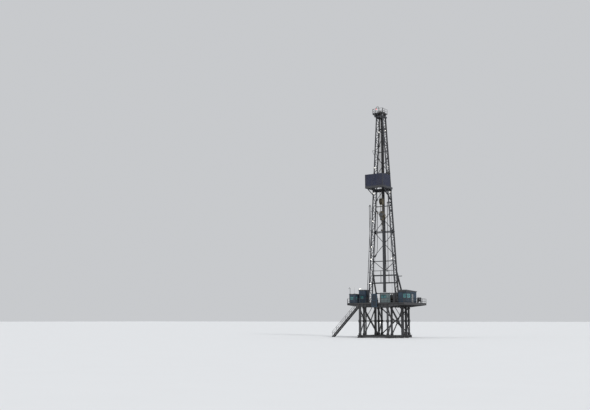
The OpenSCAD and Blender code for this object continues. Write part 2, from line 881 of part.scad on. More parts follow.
// Board for the racked pipe with its beams, walks, posts and knee braces
module racking_board() {
    in = board_in;
    low = board_z - 20 - board_beam_h;
    color("darkslategray")
        difference() {
            union() {
                for (s = [-1, 1]) {
                    for (y = [-board_y, wind_y])
                        box([s * board_x - 30, y, low], [s * board_x + 30, y + 60, board_z + wind_h]);
                    box([s * board_x - 30, -board_y, low], [s * board_x + 30, rear_y, board_z - 20]);
                    box([s * in - 30, -board_y, low], [s * in + 30, -230, board_z - 20]);
                    x0 = s > 0 ? in - 30 : -board_x;
                    x1 = s > 0 ? board_x : -in + 30;
                    box([x0, -board_y, board_z - 21], [x1, -290, board_z]);
                    w0 = s > 0 ? board_x - walk_w : -board_x;
                    w1 = s > 0 ? board_x : -board_x + walk_w;
                    box([w0, -300, board_z - 21], [w1, wind_y + 20, board_z]);
                    y0 = s > 0 ? in : -board_x;
                    y1 = s > 0 ? board_x : -in;
                    box([y0, front_y - 60, low], [y1, front_y + 20, board_z - 20]);
                    bar([s * 930, front_y, board_z - 900], [s * 1060, -1500, low + 60], 80, 60);
                    xa = s > 0 ? leg_x(board_h) - 15 : -board_x;
                    xb = s > 0 ? board_x : -leg_x(board_h) + 15;
                    box([xa, rear_y - 30, low], [xb, rear_y + 30, board_z - 20]);
                }
                box([-board_x, -board_y, low], [board_x, -board_y + 60, board_z - 20]);
                box([-in, -board_y, board_z - 21], [in, finger_y - 20, board_z]);
            }
            for (s = [-1, 1], y = [front_y, rear_y])
                chord(s, y, board_h - 1200, board_h + 1300, chord_w, seat_gap);
        }
}

// Fingers that hold the racked pipe, and the board that runs out between them
module racking_fingers() {
    color("dimgray") {
        for (s = [-1, 1], i = [0:finger_n - 1]) {
            x0 = s > 0 ? 200 : -board_in + 30;
            x1 = s > 0 ? board_in - 30 : -200;
            y = finger_y + i * finger_step;
            box([x0, y, board_z - 70], [x1, y + 30, board_z - 30]);
        }
        box([-130, -board_y + 60, board_z - 61], [130, -420, board_z - 21]);
    }
}

// Panels that shelter the racking board on three sides
module windwalls() {
    color("midnightblue") {
        box([-board_x + 30, -board_y + 22, board_z], [board_x - 30, -board_y + 34, board_z + wind_h]);
        for (s = [-1, 1])
            box([s * board_x - 6, -board_y + 60, board_z], [s * board_x + 6, wind_y, board_z + wind_h]);
    }
}

// Ladder on the outer side of the right leg
module ladder() {
    off = chord_w / 2 + 70;
    h1 = mast_h - 100;
    color("gray")
        for (y = [mast_y - 110, mast_y + 110])
            plate_xz([[leg_x(foot_t) + off, floor_h + foot_t], [leg_x(foot_t) + off + 30, floor_h + foot_t],
                [leg_x(h1) + off + 30, floor_h + h1], [leg_x(h1) + off, floor_h + h1]], y - 12, 24);
    color("gray")
        for (i = [0:17]) {
            h = 700 + i * (mast_h - head_room) / 17;
            bar([leg_x(h) + off + 15, mast_y - 110, floor_h + h],
                [leg_x(h) + off + 15, mast_y + 110, floor_h + h], 20, 20);
        }
    color("gray")
        difference() {
            for (h = [2400, 6000, 9600, 12000, 16800, mast_h - head_room])
                for (y = [-1, 1])
                    bar([leg_x(h), mast_y + y * leg_half_d, floor_h + h],
                        [leg_x(h) + off + 15, mast_y + y * 110, floor_h + h], 30, 24);
            for (y = [front_y, rear_y])
                chord(1, y, 1000, mast_h, chord_w, seat_gap);
            lacing_room(1, 1000, mast_h);
        }
}

// Standpipe on the left leg with its gooseneck
module standpipe() {
    top = 11000;
    x0 = -leg_x(top) - pipe_off;
    x1 = hose_route[0][0];
    bend = [[x0, front_y, floor_h + top], [x0, -260, floor_h + 11160],
        [x0, -330, floor_h + 11280], [(x0 + x1) / 2, -430, floor_h + 11340],
        [x1, -530, floor_h + 11300], [x1, -600, floor_h + 11180]];
    color("gray")
        difference() {
            union() {
                rod([-leg_x(0) - pipe_off, front_y, floor_h + foot_t + 10], bend[0], pipe_r);
                translate([-leg_x(0) - pipe_off, front_y, floor_h + foot_t])
                    cylinder(h = 40, r = pipe_r + 24);
                for (i = [0:4]) {
                    rod(bend[i], bend[i + 1], pipe_r);
                    translate(bend[i])
                        sphere(r = pipe_r + 5);
                }
                translate(hose_route[0] + [0, 0, seat_gap])
                    cylinder(h = 60, r = pipe_r + 14);
                for (h = [1200, 3600, 6000, 8400, 10600])
                    bar([-leg_x(h), front_y, floor_h + h], [-leg_x(h) - pipe_off, front_y, floor_h + h], 50, 60);
            }
            chord(-1, front_y, 0, mast_h, chord_w, seat_gap);
        }
}

// Point on a smooth curve through the route points
function curve(p, t) =
    let (i = min(floor(t), len(p) - 2), u = t - i,
        a = p[max(i - 1, 0)], b = p[i], c = p[i + 1], d = p[min(i + 2, len(p) - 1)])
    0.5 * (2 * b + (c - a) * u + (2 * a - 5 * b + 4 * c - d) * u * u
        + (3 * b - a - 3 * c + d) * u * u * u);

// Tube of even radius along a smooth curve
module tube(route, r, rings, sides) {
    pts = [for (k = [0:rings]) curve(route, k * (len(route) - 1) / rings)];
    dir = [for (k = [0:rings]) let (d = pts[min(k + 1, rings)] - pts[max(k - 1, 0)]) d / norm(d)];
    side = [for (k = [0:rings]) let (n = cross([0, 1, 0], dir[k])) n / norm(n)];
    polyhedron(
        points = [for (k = [0:rings]) for (j = [0:sides - 1])
            let (a = 360 * j / sides)
            pts[k] + r * (cos(a) * side[k] + sin(a) * cross(dir[k], side[k]))],
        faces = concat(
            [[for (j = [sides - 1:-1:0]) j]],
            [[for (j = [0:sides - 1]) rings * sides + j]],
            [for (k = [0:rings - 1]) for (j = [0:sides - 1])
                [k * sides + j, k * sides + (j + 1) % sides,
                    (k + 1) * sides + (j + 1) % sides, (k + 1) * sides + j]]));
}

// Rotary hose that hangs from the gooseneck to the top drive
module rotary_hose() {
    color("black")
        tube(hose_route, hose_r, 76, 10);
}

// Bundle of cables that hangs from the right leg to the top drive
module service_loop() {
    color("black")
        tube(loop_route, loop_r, 76, 10);
}

// Arm on the right leg that carries the end of the service loop
module loop_saddle() {
    start = loop_route[0];
    arm = leg_x(loop_line[0][2]) - 115;
    color("dimgray")
        difference() {
            union() {
                box([arm, front_y - 40, start[2] + 20], [arm + 80, rear_y - lace_w / 2 - 5, start[2] + 100]);
                box([start[0] - 60, start[1] - 40, start[2] + 20], [arm + 10, start[1] + 40, start[2] + 100]);
                translate(start + [0, 0, seat_gap])
                    cylinder(h = 40, r = loop_r + 10);
            }
            for (y = [front_y, rear_y])
                chord(1, y, 10000, 13000, chord_w, seat_gap);
        }
}

// Rail that guides the top drive, hung from the crown in front of the rear girts
module guide_beam() {
    girts = concat([low_girts[0], low_girts[3], low_girts[4]], [middle_girts[1], middle_girts[2]],
        [high_girts[1], high_girts[2]]);
    step = (mast_h - guide_foot) / 6;
    color("dimgray") {
        difference() {
            box([-guide_w / 2, guide_y - guide_d / 2, floor_h + guide_foot],
                [guide_w / 2, guide_y + guide_d / 2, crown_z]);
            for (s = [-1, 1])
                box([s * guide_w / 2 - 40, guide_y - guide_d / 2 + 30, floor_h],
                    [s * guide_w / 2 + 40, guide_y + guide_d / 2 - 30, crown_z - 60]);
        }
        for (i = [0:5])
            box([-guide_w / 2, guide_y - guide_d / 2, floor_h + guide_foot + i * step],
                [guide_w / 2, guide_y + guide_d / 2, floor_h + guide_foot + i * step + 60]);
        for (h = girts)
            box([-60, guide_y, floor_h + h - 40], [60, rear_y - lace_w / 2, floor_h + h + 40]);
        box([-guide_w / 2, guide_y, crown_z - 60], [guide_w / 2, rear_y, crown_z]);
    }
}

// Lines between the crown block and the travelling block
module drilling_lines() {
    color("silver")
        for (i = [0:4]) {
            x = (i - 2) * sheave_pitch;
            rod([x, -line_y, block_z], [x, -line_y, axle_z], line_r, $fn = 16);
            if (i < 4)
                rod([x, line_y, block_z], [x + sheave_pitch, line_y, axle_z], line_r, $fn = 16);
            else
                rod([x - 4, line_y, block_z], [fast_x + 4, fast_y - line_y, axle_z], line_r, $fn = 16);
        }
}

// Line to the drawworks and the fixed end of the line at the left leg
module fast_and_dead_lines() {
    color("silver") {
        rod([fast_x, fast_y + line_y, axle_z], [100, drum_y + drum_r + line_r + 1, drum_z],
            line_r, $fn = 16);
        rod([-2 * sheave_pitch + 2, line_y, axle_z], [-1440, 420, floor_h + 651], line_r, $fn = 16);
        box([-1510, 330, floor_h], [-1370, 500, floor_h + 60]);
        box([-1480, 380, floor_h + 50], [-1400, 460, floor_h + 650]);
    }
}

// Travelling block with its side plates and sheaves
module travelling_block() {
    color("goldenrod")
        translate([0, 0, block_z]) {
            for (x = [-180, 162])
                plate_yz([[-130, -400], [130, -400], [300, -150], [300, 180], [180, 330],
                    [-180, 330], [-300, 180], [-300, -150]], x, 18);
            for (i = [0:4])
                sheave((i - 2) * sheave_pitch);
            rod([-200, 0, 0], [200, 0, 0], 50);
            box([-175, -110, -400], [175, 110, -310]);
            box([-175, -60, 292], [175, 60, 330]);
            for (x = [-150, 110])
                box([x, -30, floor_h + 10420 - block_z], [x + 40, 30, -390]);
        }
}

// Top drive with its carriage, gooseneck, links and elevator
module top_drive() {
    z = floor_h;
    color("goldenrod") {
        difference() {
            union() {
                box([-230, -210, z + 9950], [230, 230, z + 10420]);
                box([-160, -160, z + 9560], [160, 160, z + 9960]);
            }
            translate([0, 0, z + 9500])
                cylinder(h = 500, r = shaft_r + 0.3);
        }
        for (x = [-150, 150])
            rod([x, 112, z + 10400], [x, 112, z + 10600], 75);
        box([-60, -60, z + 10410], [60, 60, z + 10540]);
        front = guide_y - guide_d / 2 - guide_gap;
        side = guide_w / 2 + guide_gap;
        box([-side - 60, 220, z + 9800], [side + 60, front, z + 10300]);
        for (s = [-1, 1], h = [9800, 10200]) {
            x0 = s > 0 ? side : -side - 60;
            x1 = s > 0 ? side + 60 : -side;
            box([x0, front - 10, z + h], [x1, guide_y + guide_d / 2, z + h + 100]);
        }
        for (x = [-110, 110])
            rod([x, 0, z + 8420], [x, 0, z + 9570], 18);
        difference() {
            box([-130, -70, z + 8300], [130, 70, z + 8440]);
            translate([0, 0, z + 8200])
                cylinder(h = 400, r = 45);
        }
        rod([-20, -20, z + 10480], [-190, -300, z + 10480], 32);
        rod([-190, -300, z + 10480], [-350, -420, z + 10420], 32);
        translate([-190, -300, z + 10480])
            sphere(r = 37);
        translate(hose_route[11] + [0, 0, seat_gap])
            cylinder(h = 210, r = 40);
        box([220, -60, z + 10000], [440, 90, z + 10120]);
        translate(loop_route[11] + [0, 0, seat_gap])
            cylinder(h = 320, r = loop_r + 10);
    }
}

// Shaft that the top drive turns
module drive_shaft() {
    color("silver")
        translate([0, 0, floor_h + 8960])
            difference() {
                union() {
                    cylinder(h = 1010, r = shaft_r);
                    cylinder(h = 180, r = shaft_r + 14);
                }
                translate([0, 0, -10])
                    cylinder(h = 110, r = 18);
            }
}

// One floodlight on the inner side of a chord
module leg_lamp(s, y, h) {
    difference() {
        x = s * (leg_x(h) - lace_w / 2 - 60);
        box([x - 55, y - 45, floor_h + h - 35], [x + 55, y + 45, floor_h + h + 35]);
        chord(s, y < mast_y ? front_y : rear_y, h - 200, h + 200, chord_w, seat_gap);
    }
}

// Floodlights on the legs of the mast, on the roof of the tall cabin and at the side trusses
module floodlights() {
    color("white") {
        leg_lamp(-1, rear_y - 75, mast_h - 1600);
        leg_lamp(1, rear_y - 75, mast_h - 1520);
        leg_lamp(-1, front_y, 15700);
        leg_lamp(1, rear_y - 75, 15800);
        leg_lamp(-1, front_y, 12720);
        leg_lamp(1, rear_y - 75, 12800);
        leg_lamp(-1, front_y, 9480);
        leg_lamp(-1, front_y, 6500);
        leg_lamp(-1, front_y, 5090);
        leg_lamp(1, front_y, 5090);
        leg_lamp(-1, front_y, 2310);
        box([-2855, -325, floor_h + tall_cabin_h + roof_t], [-2745, -245, floor_h + tall_cabin_h + roof_t + 120]);
        for (s = [-1, 1])
            box([s * truss_x - 55, 2465, (base_h + beam_z) / 2 - 140],
                [s * truss_x + 55, 2545, (base_h + beam_z) / 2 - 60.2]);
    }
}

// Mast head light that hangs from a bent post at the crown
module beacon() {
    z = crown_z + crown_deck_h;
    post_x = 60;
    post_y = -480;
    post_r = 26;
    bend_r = 180;
    top = 620;
    x = post_x - bend_r;
    outline = concat([[post_x + post_r, z]],
        [for (a = [0:15:180]) [x + (bend_r + post_r) * cos(a), z + top + (bend_r + post_r) * sin(a)]],
        [for (a = [180:-15:0]) [x + (bend_r - post_r) * cos(a), z + top + (bend_r - post_r) * sin(a)]],
        [[post_x - post_r, z]]);
    color("red") {
        plate_xz(outline, post_y - post_r, 2 * post_r);
        translate([x - bend_r, post_y, z + top - 130])
            cylinder(h = 135, r = 62);
    }
}

base_boxes();
cross_bracing();
truss_left();
truss_right();
floor_frame();
floor_deck();
wing_platforms();
rotary_table();
floor_rails();
v_door_gate();
stair();
stair_treads();
doghouse();
tall_cabin();
drillers_cabin();
tool_house();
tool_house_door();
house_roofs();
house_windows();
drawworks();
winch();
mast_shoes();
mast_left_lower();
mast_left_middle();
mast_left_upper();
mast_right_lower();
mast_right_middle();
mast_right_upper();
mast_back_lower();
mast_back_middle();
mast_back_upper();
a_frame();
crown_frame();
crown_platform();
crown_sheaves();
fast_sheave();
beacon();
racking_board();
racking_fingers();
windwalls();
ladder();
standpipe();
rotary_hose();
loop_saddle();
service_loop();
guide_beam();
drilling_lines();
fast_and_dead_lines();
travelling_block();
top_drive();
drive_shaft();
floodlights();
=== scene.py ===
"""Oil drilling rig: finishes, fine fittings, hoses, lines, light and camera."""
import json
import logging
import math
from collections.abc import Callable, Iterable
from dataclasses import dataclass, field
from enum import Enum
from functools import partial
from itertools import product

import bpy
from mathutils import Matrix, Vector

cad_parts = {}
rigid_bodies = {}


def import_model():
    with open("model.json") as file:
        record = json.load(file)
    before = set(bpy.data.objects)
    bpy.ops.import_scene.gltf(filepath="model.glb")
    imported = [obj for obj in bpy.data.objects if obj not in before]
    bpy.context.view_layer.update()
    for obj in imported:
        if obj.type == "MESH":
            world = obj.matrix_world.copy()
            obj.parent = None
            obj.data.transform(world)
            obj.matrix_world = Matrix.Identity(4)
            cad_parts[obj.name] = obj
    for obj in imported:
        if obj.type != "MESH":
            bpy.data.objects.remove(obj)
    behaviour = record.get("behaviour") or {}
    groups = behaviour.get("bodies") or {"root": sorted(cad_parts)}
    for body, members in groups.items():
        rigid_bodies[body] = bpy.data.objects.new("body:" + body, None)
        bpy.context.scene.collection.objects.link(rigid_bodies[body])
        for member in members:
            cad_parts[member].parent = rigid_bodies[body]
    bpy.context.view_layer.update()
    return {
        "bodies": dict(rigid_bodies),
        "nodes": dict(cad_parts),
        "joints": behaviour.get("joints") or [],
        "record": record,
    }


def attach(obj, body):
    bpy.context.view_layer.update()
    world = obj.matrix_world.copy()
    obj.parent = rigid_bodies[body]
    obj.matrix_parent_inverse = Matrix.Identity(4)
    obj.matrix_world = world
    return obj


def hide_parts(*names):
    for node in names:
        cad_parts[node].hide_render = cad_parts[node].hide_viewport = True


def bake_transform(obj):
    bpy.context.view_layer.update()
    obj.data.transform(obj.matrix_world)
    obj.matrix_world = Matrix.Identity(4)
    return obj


LOG = logging.getLogger("drilling_rig")
Point = tuple[float, float, float]
Pair = tuple[float, float]
Colour = tuple[float, float, float]
SIDES = (-1, 1)


class Body(Enum):
    """The bodies of the rig that a piece can ride on."""

    RIG = "rig"
    HOIST = "hoist"
    SHAFT = "shaft"
    DOOR = "door"
    SHEAVES = "sheaves"
    FAST = "fast_line_sheave"


class Wire:
    """One value socket of a finish, written in sums like a plain number."""

    def __init__(self, shader: "Shader", socket: bpy.types.NodeSocket) -> None:
        """Keeps the finish and the socket that carries the value."""
        self.shader = shader
        self.socket = socket

    def _math(self, operation: str, first: object, second: object) -> "Wire":
        """Adds one Math node.

        Args:
            operation: the operation of the node.
            first: the first value or wire.
            second: the second value or wire.

        Returns:
            The wire that carries the result.
        """
        made = self.shader.node("ShaderNodeMath", {"operation": operation}, {0: first, 1: second})
        return Wire(self.shader, made.outputs[0])

    def __add__(self, other: object) -> "Wire":
        """Sum."""
        return self._math("ADD", self, other)

    __radd__ = __add__

    def __mul__(self, other: object) -> "Wire":
        """Product."""
        return self._math("MULTIPLY", self, other)

    __rmul__ = __mul__

    def __sub__(self, other: object) -> "Wire":
        """Difference."""
        return self._math("SUBTRACT", self, other)

    def __rsub__(self, other: object) -> "Wire":
        """Difference from a number."""
        return self._math("SUBTRACT", other, self)

    def sine(self) -> "Wire":
        """Sine of the value."""
        return self._math("SINE", self, 0.0)

    def least(self, other: object) -> "Wire":
        """Smaller of two values."""
        return self._math("MINIMUM", self, other)

    def most(self, other: object) -> "Wire":
        """Greater of two values."""
        return self._math("MAXIMUM", self, other)


class Shader:
    """The node tree of one finish."""

    def __init__(self, name: str) -> None:
        """Makes an empty material.

        Args:
            name: plain name of the finish.
        """
        self.material = bpy.data.materials.new(name)
        self.material.use_nodes = True
        self.tree = self.material.node_tree
        self.tree.nodes.clear()

    def node(self, kind: str, settings: dict[str, object],
            values: dict[object, object]) -> bpy.types.Node:
        """Adds one node.

        Args:
            kind: type of the node.
            settings: its settings, and under stops the stops of its ramp.
            values: the value or wire of each input, by name or number.

        Returns:
            The node.
        """
        made = self.tree.nodes.new(kind)
        for key, value in settings.items():
            if key == "stops":
                self._stops(made.color_ramp, value)
            else:
                setattr(made, key, value)
        for key, value in values.items():
            if isinstance(value, Wire):
                self.tree.links.new(value.socket, made.inputs[key])
            else:
                made.inputs[key].default_value = value
        return made

    @staticmethod
    def _stops(ramp: bpy.types.ColorRamp, stops: list[Pair]) -> None:
        """Sets a grey ramp.

        Args:
            ramp: the ramp of the node.
            stops: pairs of place and level.
        """
        for index, (place, level) in enumerate(stops):
            stop = ramp.elements[index] if index < 2 else ramp.elements.new(place)
            stop.position = place
            stop.color = (level, level, level, 1.0)

    def wire(self, made: bpy.types.Node, output: object = 0) -> Wire:
        """Wire from an output of a node."""
        return Wire(self, made.outputs[output])

    def place(self) -> Wire:
        """Position on the rig, in metres, carried by the piece."""
        return self.wire(self.node("ShaderNodeTexCoord", {}, {}), "Object")

    def noise(self, scale: float, detail: float = 3.0, stretch: Point = (1.0, 1.0, 1.0)) -> Wire:
        """Cloudy grain.

        Args:
            scale: how fine the grain is, in grains to the metre.
            detail: number of finer layers.
            stretch: how much the place is stretched along each axis.

        Returns:
            The grain, from 0 to 1.
        """
        place = self.wire(self.node("ShaderNodeMapping", {},
            {"Vector": self.place(), "Scale": stretch}))
        made = self.node("ShaderNodeTexNoise", {},
            {"Vector": place, "Scale": scale, "Detail": detail})
        return self.wire(made, 0)

    def ramp(self, value: Wire, start: float, stop: float) -> Wire:
        """Value that goes from 0 at one level of another value to 1 at a second level."""
        stops = {"stops": [(start, 0.0), (stop, 1.0)]}
        return self.wire(self.node("ShaderNodeValToRGB", stops, {"Fac": value}))

    def mix(self, share: object, first: object, second: object) -> Wire:
        """Colour between two.

        Args:
            share: how much of the second colour shows.
            first: colour or wire at share 0.
            second: colour or wire at share 1.

        Returns:
            The mixed colour.
        """
        inputs = {key: self._rgba(value) for key, value in {0: share, 6: first, 7: second}.items()}
        return self.wire(self.node("ShaderNodeMix", {"data_type": "RGBA"}, inputs), 2)

    @staticmethod
    def _rgba(value: object) -> object:
        """Three numbers as four; anything else as it is."""
        return (*value, 1.0) if isinstance(value, tuple) and len(value) == 3 else value

    def part(self, vector: Wire, index: int) -> Wire:
        """One of the three parts of a vector."""
        return self.wire(self.node("ShaderNodeSeparateXYZ", {}, {0: vector}), index)

    def upward(self) -> Wire:
        """How much the surface faces up."""
        return self.part(self.wire(self.node("ShaderNodeNewGeometry", {}, {}), "Normal"), 2)

    def bump(self, height: Wire, distance: float, strength: float) -> Wire:
        """Normal of a surface with a relief.

        Args:
            height: the relief, from 0 to 1.
            distance: how deep the relief is, in metres.
            strength: how much of it shows.

        Returns:
            The normal.
        """
        return self.wire(self.node("ShaderNodeBump", {},
            {"Height": height, "Distance": distance, "Strength": strength}))

    def surface(self, values: dict[object, object]) -> bpy.types.Material:
        """Closes the finish with a Principled surface.

        Args:
            values: its values or wires, by input name.

        Returns:
            The material.
        """
        values = {key: self._rgba(value) for key, value in values.items()}
        body = self.node("ShaderNodeBsdfPrincipled", {}, values)
        self.node("ShaderNodeOutputMaterial", {}, {"Surface": self.wire(body)})
        return self.material


def deeper(colour: Colour, share: float) -> Colour:
    """A colour that is darker by a share."""
    return tuple(part * share for part in colour)


@dataclass(frozen=True)
class WeatheredPaint:
    """Oil-field paint with faded patches, rust spots, runs and dust."""

    name: str
    colour: Colour
    rust: float = 0.35
    dust: float = 0.25
    roughness: float = 0.55
    fade: float = 1.5
    bleach: float = 0.012
    run_colour: Colour = (0.05, 0.04, 0.035)
    rust_colours: tuple[Colour, Colour] = ((0.16, 0.06, 0.025), (0.08, 0.035, 0.02))
    dust_colour: Colour = (0.3, 0.27, 0.22)

    def material(self) -> bpy.types.Material:
        """Builds the finish.

        Returns:
            The material.
        """
        shader = Shader(self.name)
        pale = tuple(min(1.0, part * self.fade + self.bleach) for part in self.colour)
        broad = shader.ramp(shader.noise(0.9, 4.0), 0.35, 0.7)
        runs = shader.ramp(shader.noise(7.0, 4.0, (1.0, 1.0, 0.09)), 0.45, 0.75)
        spots = shader.noise(16.0, 6.0)
        cover = shader.ramp(spots * (runs * 0.35 + 0.75), 0.6 - 0.1 * self.rust, 0.72)
        paint = shader.mix(broad * 0.7, self.colour, pale)
        stained = shader.mix(runs * 0.3, paint, self.run_colour)
        rusty = shader.mix(shader.noise(60.0), *self.rust_colours)
        worn = shader.mix(cover * self.rust, stained, rusty)
        dusty = (shader.upward() - 0.5).most(0.0) * (2.0 * self.dust) * broad
        colour = shader.mix(dusty, worn, self.dust_colour)
        rough = (cover * 0.3 + broad * 0.12 + (self.roughness - 0.05)).least(0.95)
        normal = shader.bump(shader.noise(45.0, 3.0) * 0.4 + cover * 0.6, 0.004, 0.35)
        return shader.surface({"Base Color": colour, "Roughness": rough, "Metallic": 0.0,
            "Normal": normal, "Coat Weight": 0.06, "Coat Roughness": 0.4})


@dataclass(frozen=True)
class TreadPlate:
    """Drill floor plate with raised lozenges, worn bright and stained with mud."""

    name: str
    colour: Colour
    pitch: float = 0.05
    bright: Colour = (0.34, 0.34, 0.33)
    mud_colour: Colour = (0.1, 0.082, 0.062)

    def material(self) -> bpy.types.Material:
        """Builds the finish.

        Returns:
            The material.
        """
        shader = Shader(self.name)
        turn = math.pi / self.pitch
        x, y = (shader.part(shader.place(), index) for index in (0, 1))
        lozenge = shader.ramp((((x + y) * turn).sine() * ((x - y) * turn).sine()).most(0.0), 0.55,
            0.75)
        mud = shader.ramp(shader.noise(1.3, 6.0), 0.48, 0.66)
        shine = lozenge * (1.0 - mud)
        plate = shader.mix(shader.noise(5.0, 5.0), self.colour, deeper(self.colour, 0.55))
        rubbed = shader.mix(shine * 0.45, plate, self.bright)
        colour = shader.mix(mud * 0.75, rubbed, self.mud_colour)
        rough = mud * 0.3 + (0.5 - shine * 0.15)
        return shader.surface({"Base Color": colour, "Roughness": rough, "Metallic": shine * 0.5,
            "Normal": shader.bump(lozenge + mud * 0.5, 0.003, 0.5)})


@dataclass(frozen=True)
class BareSteel:
    """Machined steel with turning marks and grease."""

    name: str
    colour: Colour
    grease: float = 0.5
    grease_colour: Colour = (0.045, 0.038, 0.03)

    def material(self) -> bpy.types.Material:
        """Builds the finish.

        Returns:
            The material.
        """
        shader = Shader(self.name)
        film = shader.ramp(shader.noise(6.0, 5.0), 0.4, 0.65)
        marks = shader.noise(220.0, 2.0, (0.15, 1.0, 1.0))
        steel = shader.mix(marks, self.colour, deeper(self.colour, 0.7))
        colour = shader.mix(film * self.grease, steel, self.grease_colour)
        rough = film * 0.25 + marks * 0.12 + 0.28
        return shader.surface({"Base Color": colour, "Roughness": rough, "Metallic": 1.0
            - film * 0.6, "Normal": shader.bump(marks, 0.001, 0.2)})


@dataclass(frozen=True)
class WireRope:
    """Laid steel wire rope, by turns round and metres along the rope, with painted shade in the
    grooves between its strands.
    """

    name: str
    colour: Colour
    strands: int = 6
    lay: float = 0.13
    grease_colour: Colour = (0.05, 0.042, 0.034)

    def material(self) -> bpy.types.Material:
        """Builds the finish.

        Returns:
            The material.
        """
        shader = Shader(self.name)
        wrap = shader.wire(shader.node("ShaderNodeUVMap", {}, {}))
        turn = 2.0 * math.pi * self.strands
        phase = shader.part(wrap, 0) * turn + shader.part(wrap, 1) * (turn / self.lay)
        ridge = phase.sine() * 0.5 + 0.5
        film = shader.noise(9.0, 4.0)
        # painted shade: the grooves between the strands are darkened, and the crests keep the rope
        # colour
        steel = shader.mix(ridge, deeper(self.colour, 0.3), self.colour)
        colour = shader.mix(film * 0.5, steel, self.grease_colour)
        return shader.surface({"Base Color": colour, "Roughness": film * 0.3 + 0.35,
            "Metallic": 0.7, "Normal": shader.bump(ridge, 0.002, 0.8)})


@dataclass(frozen=True)
class HoseRubber:
    """Black hose cover with fine cloth marks and pale dust."""

    name: str
    colour: Colour = (0.018, 0.018, 0.02)
    dust_colour: Colour = (0.16, 0.145, 0.12)

    def material(self) -> bpy.types.Material:
        """Builds the finish.

        Returns:
            The material.
        """
        shader = Shader(self.name)
        dust = shader.ramp(shader.noise(4.0, 5.0), 0.45, 0.75)
        weave = shader.noise(160.0, 2.0)
        colour = shader.mix(dust * 0.35, self.colour, self.dust_colour)
        return shader.surface({"Base Color": colour, "Roughness": dust * 0.15 + 0.6,
            "Metallic": 0.0, "Normal": shader.bump(weave, 0.001, 0.3)})


@dataclass(frozen=True)
class TintedGlass:
    """Sea-green cabin glass with a little dirt."""

    name: str
    colour: Colour = (0.1, 0.34, 0.37)
    dirt_colour: Colour = (0.22, 0.26, 0.24)

    def material(self) -> bpy.types.Material:
        """Builds the finish.

        Returns:
            The material.
        """
        shader = Shader(self.name)
        dirt = shader.ramp(shader.noise(5.0, 5.0), 0.4, 0.8)
        colour = shader.mix(dirt * 0.3, self.colour, self.dirt_colour)
        return shader.surface({"Base Color": colour, "Roughness": dirt * 0.2 + 0.06,
            "Metallic": 0.0, "Transmission Weight": 0.35, "IOR": 1.45, "Coat Weight": 0.4,
            "Coat Roughness": 0.05})


@dataclass(frozen=True)
class LampGlass:
    """Lens of a lamp that is lit, its glow mottled with a fine grain."""

    name: str
    colour: Colour
    strength: float

    def material(self) -> bpy.types.Material:
        """Builds the finish.

        Returns:
            The material.
        """
        shader = Shader(self.name)
        glow = shader.mix(shader.noise(90.0, 1.0), self.colour, deeper(self.colour, 0.8))
        return shader.surface({"Base Color": glow, "Roughness": 0.2, "Emission Color": glow,
            "Emission Strength": self.strength})


@dataclass
class Finishes:
    """Every finish of the rig, made once."""

    made: dict[str, bpy.types.Material] = field(default_factory=dict)

    def __post_init__(self) -> None:
        """Builds the finishes."""
        recipes = [WeatheredPaint("mast_steel", (0.021, 0.023, 0.028), rust=0.35, dust=0.12,
            fade=1.4), WeatheredPaint("base_steel", (0.026, 0.027, 0.03), rust=0.5, dust=0.2,
            roughness=0.62), WeatheredPaint("rail_steel", (0.022, 0.023, 0.026), rust=0.2,
            dust=0.08, fade=1.2), WeatheredPaint("machine_grey", (0.045, 0.05, 0.056), rust=0.3,
            dust=0.2, roughness=0.45), WeatheredPaint("cabin_blue", (0.012, 0.032, 0.056), rust=0.2,
            # cabin_white: a white cabin given a dim grey-teal, its white darkened with painted
            # shade
            dust=0.15, roughness=0.42), WeatheredPaint("cabin_white", (0.13, 0.17, 0.175), rust=0.2,
            dust=0.2, roughness=0.4, fade=1.2), WeatheredPaint("roof_dark", (0.03, 0.033, 0.038),
            # door_pale: a pale door darkened to a mid grey with painted shade
            rust=0.3, dust=0.35, roughness=0.65), WeatheredPaint("door_pale", (0.22, 0.23, 0.23),
            rust=0.3, dust=0.15, roughness=0.4, fade=1.15),
            WeatheredPaint("windwall_navy", (0.004, 0.009, 0.034), rust=0.08, dust=0.06, fade=1.2),
            WeatheredPaint("block_yellow", (0.075, 0.06, 0.03), rust=0.5, dust=0.12, roughness=0.5,
            fade=1.2), TreadPlate("deck_steel", (0.06, 0.06, 0.06)),
            BareSteel("sheave_steel", (0.1, 0.1, 0.105), grease=0.8),
            WireRope("wire_rope", (0.07, 0.068, 0.064)), HoseRubber("hose_black"),
            TintedGlass("window_glass"), LampGlass("lamp_white", (1.0, 0.97, 0.88), 6.0),
            LampGlass("lamp_red", (0.85, 0.04, 0.03), 2.5),]
        for recipe in recipes:
            self.made[recipe.name] = recipe.material()

    def __getitem__(self, name: str) -> bpy.types.Material:
        """The material of a finish by name."""
        return self.made[name]


def shift(point: Point, way: Point) -> Point:
    """A point moved by a way."""
    return tuple(a + b for a, b in zip(point, way))


def flat(centre: Point, plane: str, pairs: Iterable[Pair], way: float = 1) -> list[Point]:
    """Points of a flat outline.

    Args:
        centre: the point that the pairs are counted from.
        plane: letters of the two axes that the pairs run along.
        pairs: places along the two axes.
        way: factor for the first places, -1 for a mirrored outline.

    Returns:
        The points.
    """
    first, second = ("xyz".index(letter) for letter in plane)
    line = []
    for along, up in pairs:
        point = list(centre)
        point[first] += way * along
        point[second] += up
        line.append(tuple(point))
    return line


def moved(points: Iterable[Point], way: Point) -> list[Point]:
    """Points shifted all alike."""
    return [shift(point, way) for point in points]


def arc(centre: Point, plane: str, reach: float, count: int, start: float = 0.0,
        stop: float = 360.0, tall: float = 1.0) -> list[Point]:
    """Points on an arc.

    Args:
        centre: its centre.
        plane: letters of the axes at 0 and at 90 degrees.
        reach: its radius.
        count: number of steps between its points.
        start: its first angle, in degrees.
        stop: its last angle, in degrees.
        tall: how much taller than wide it is.

    Returns:
        The points, one more than the steps.
    """
    turns = [math.radians(start + (stop - start) * k / count) for k in range(count + 1)]
    return flat(centre, plane, [(reach * math.cos(t), tall * reach * math.sin(t)) for t in turns])


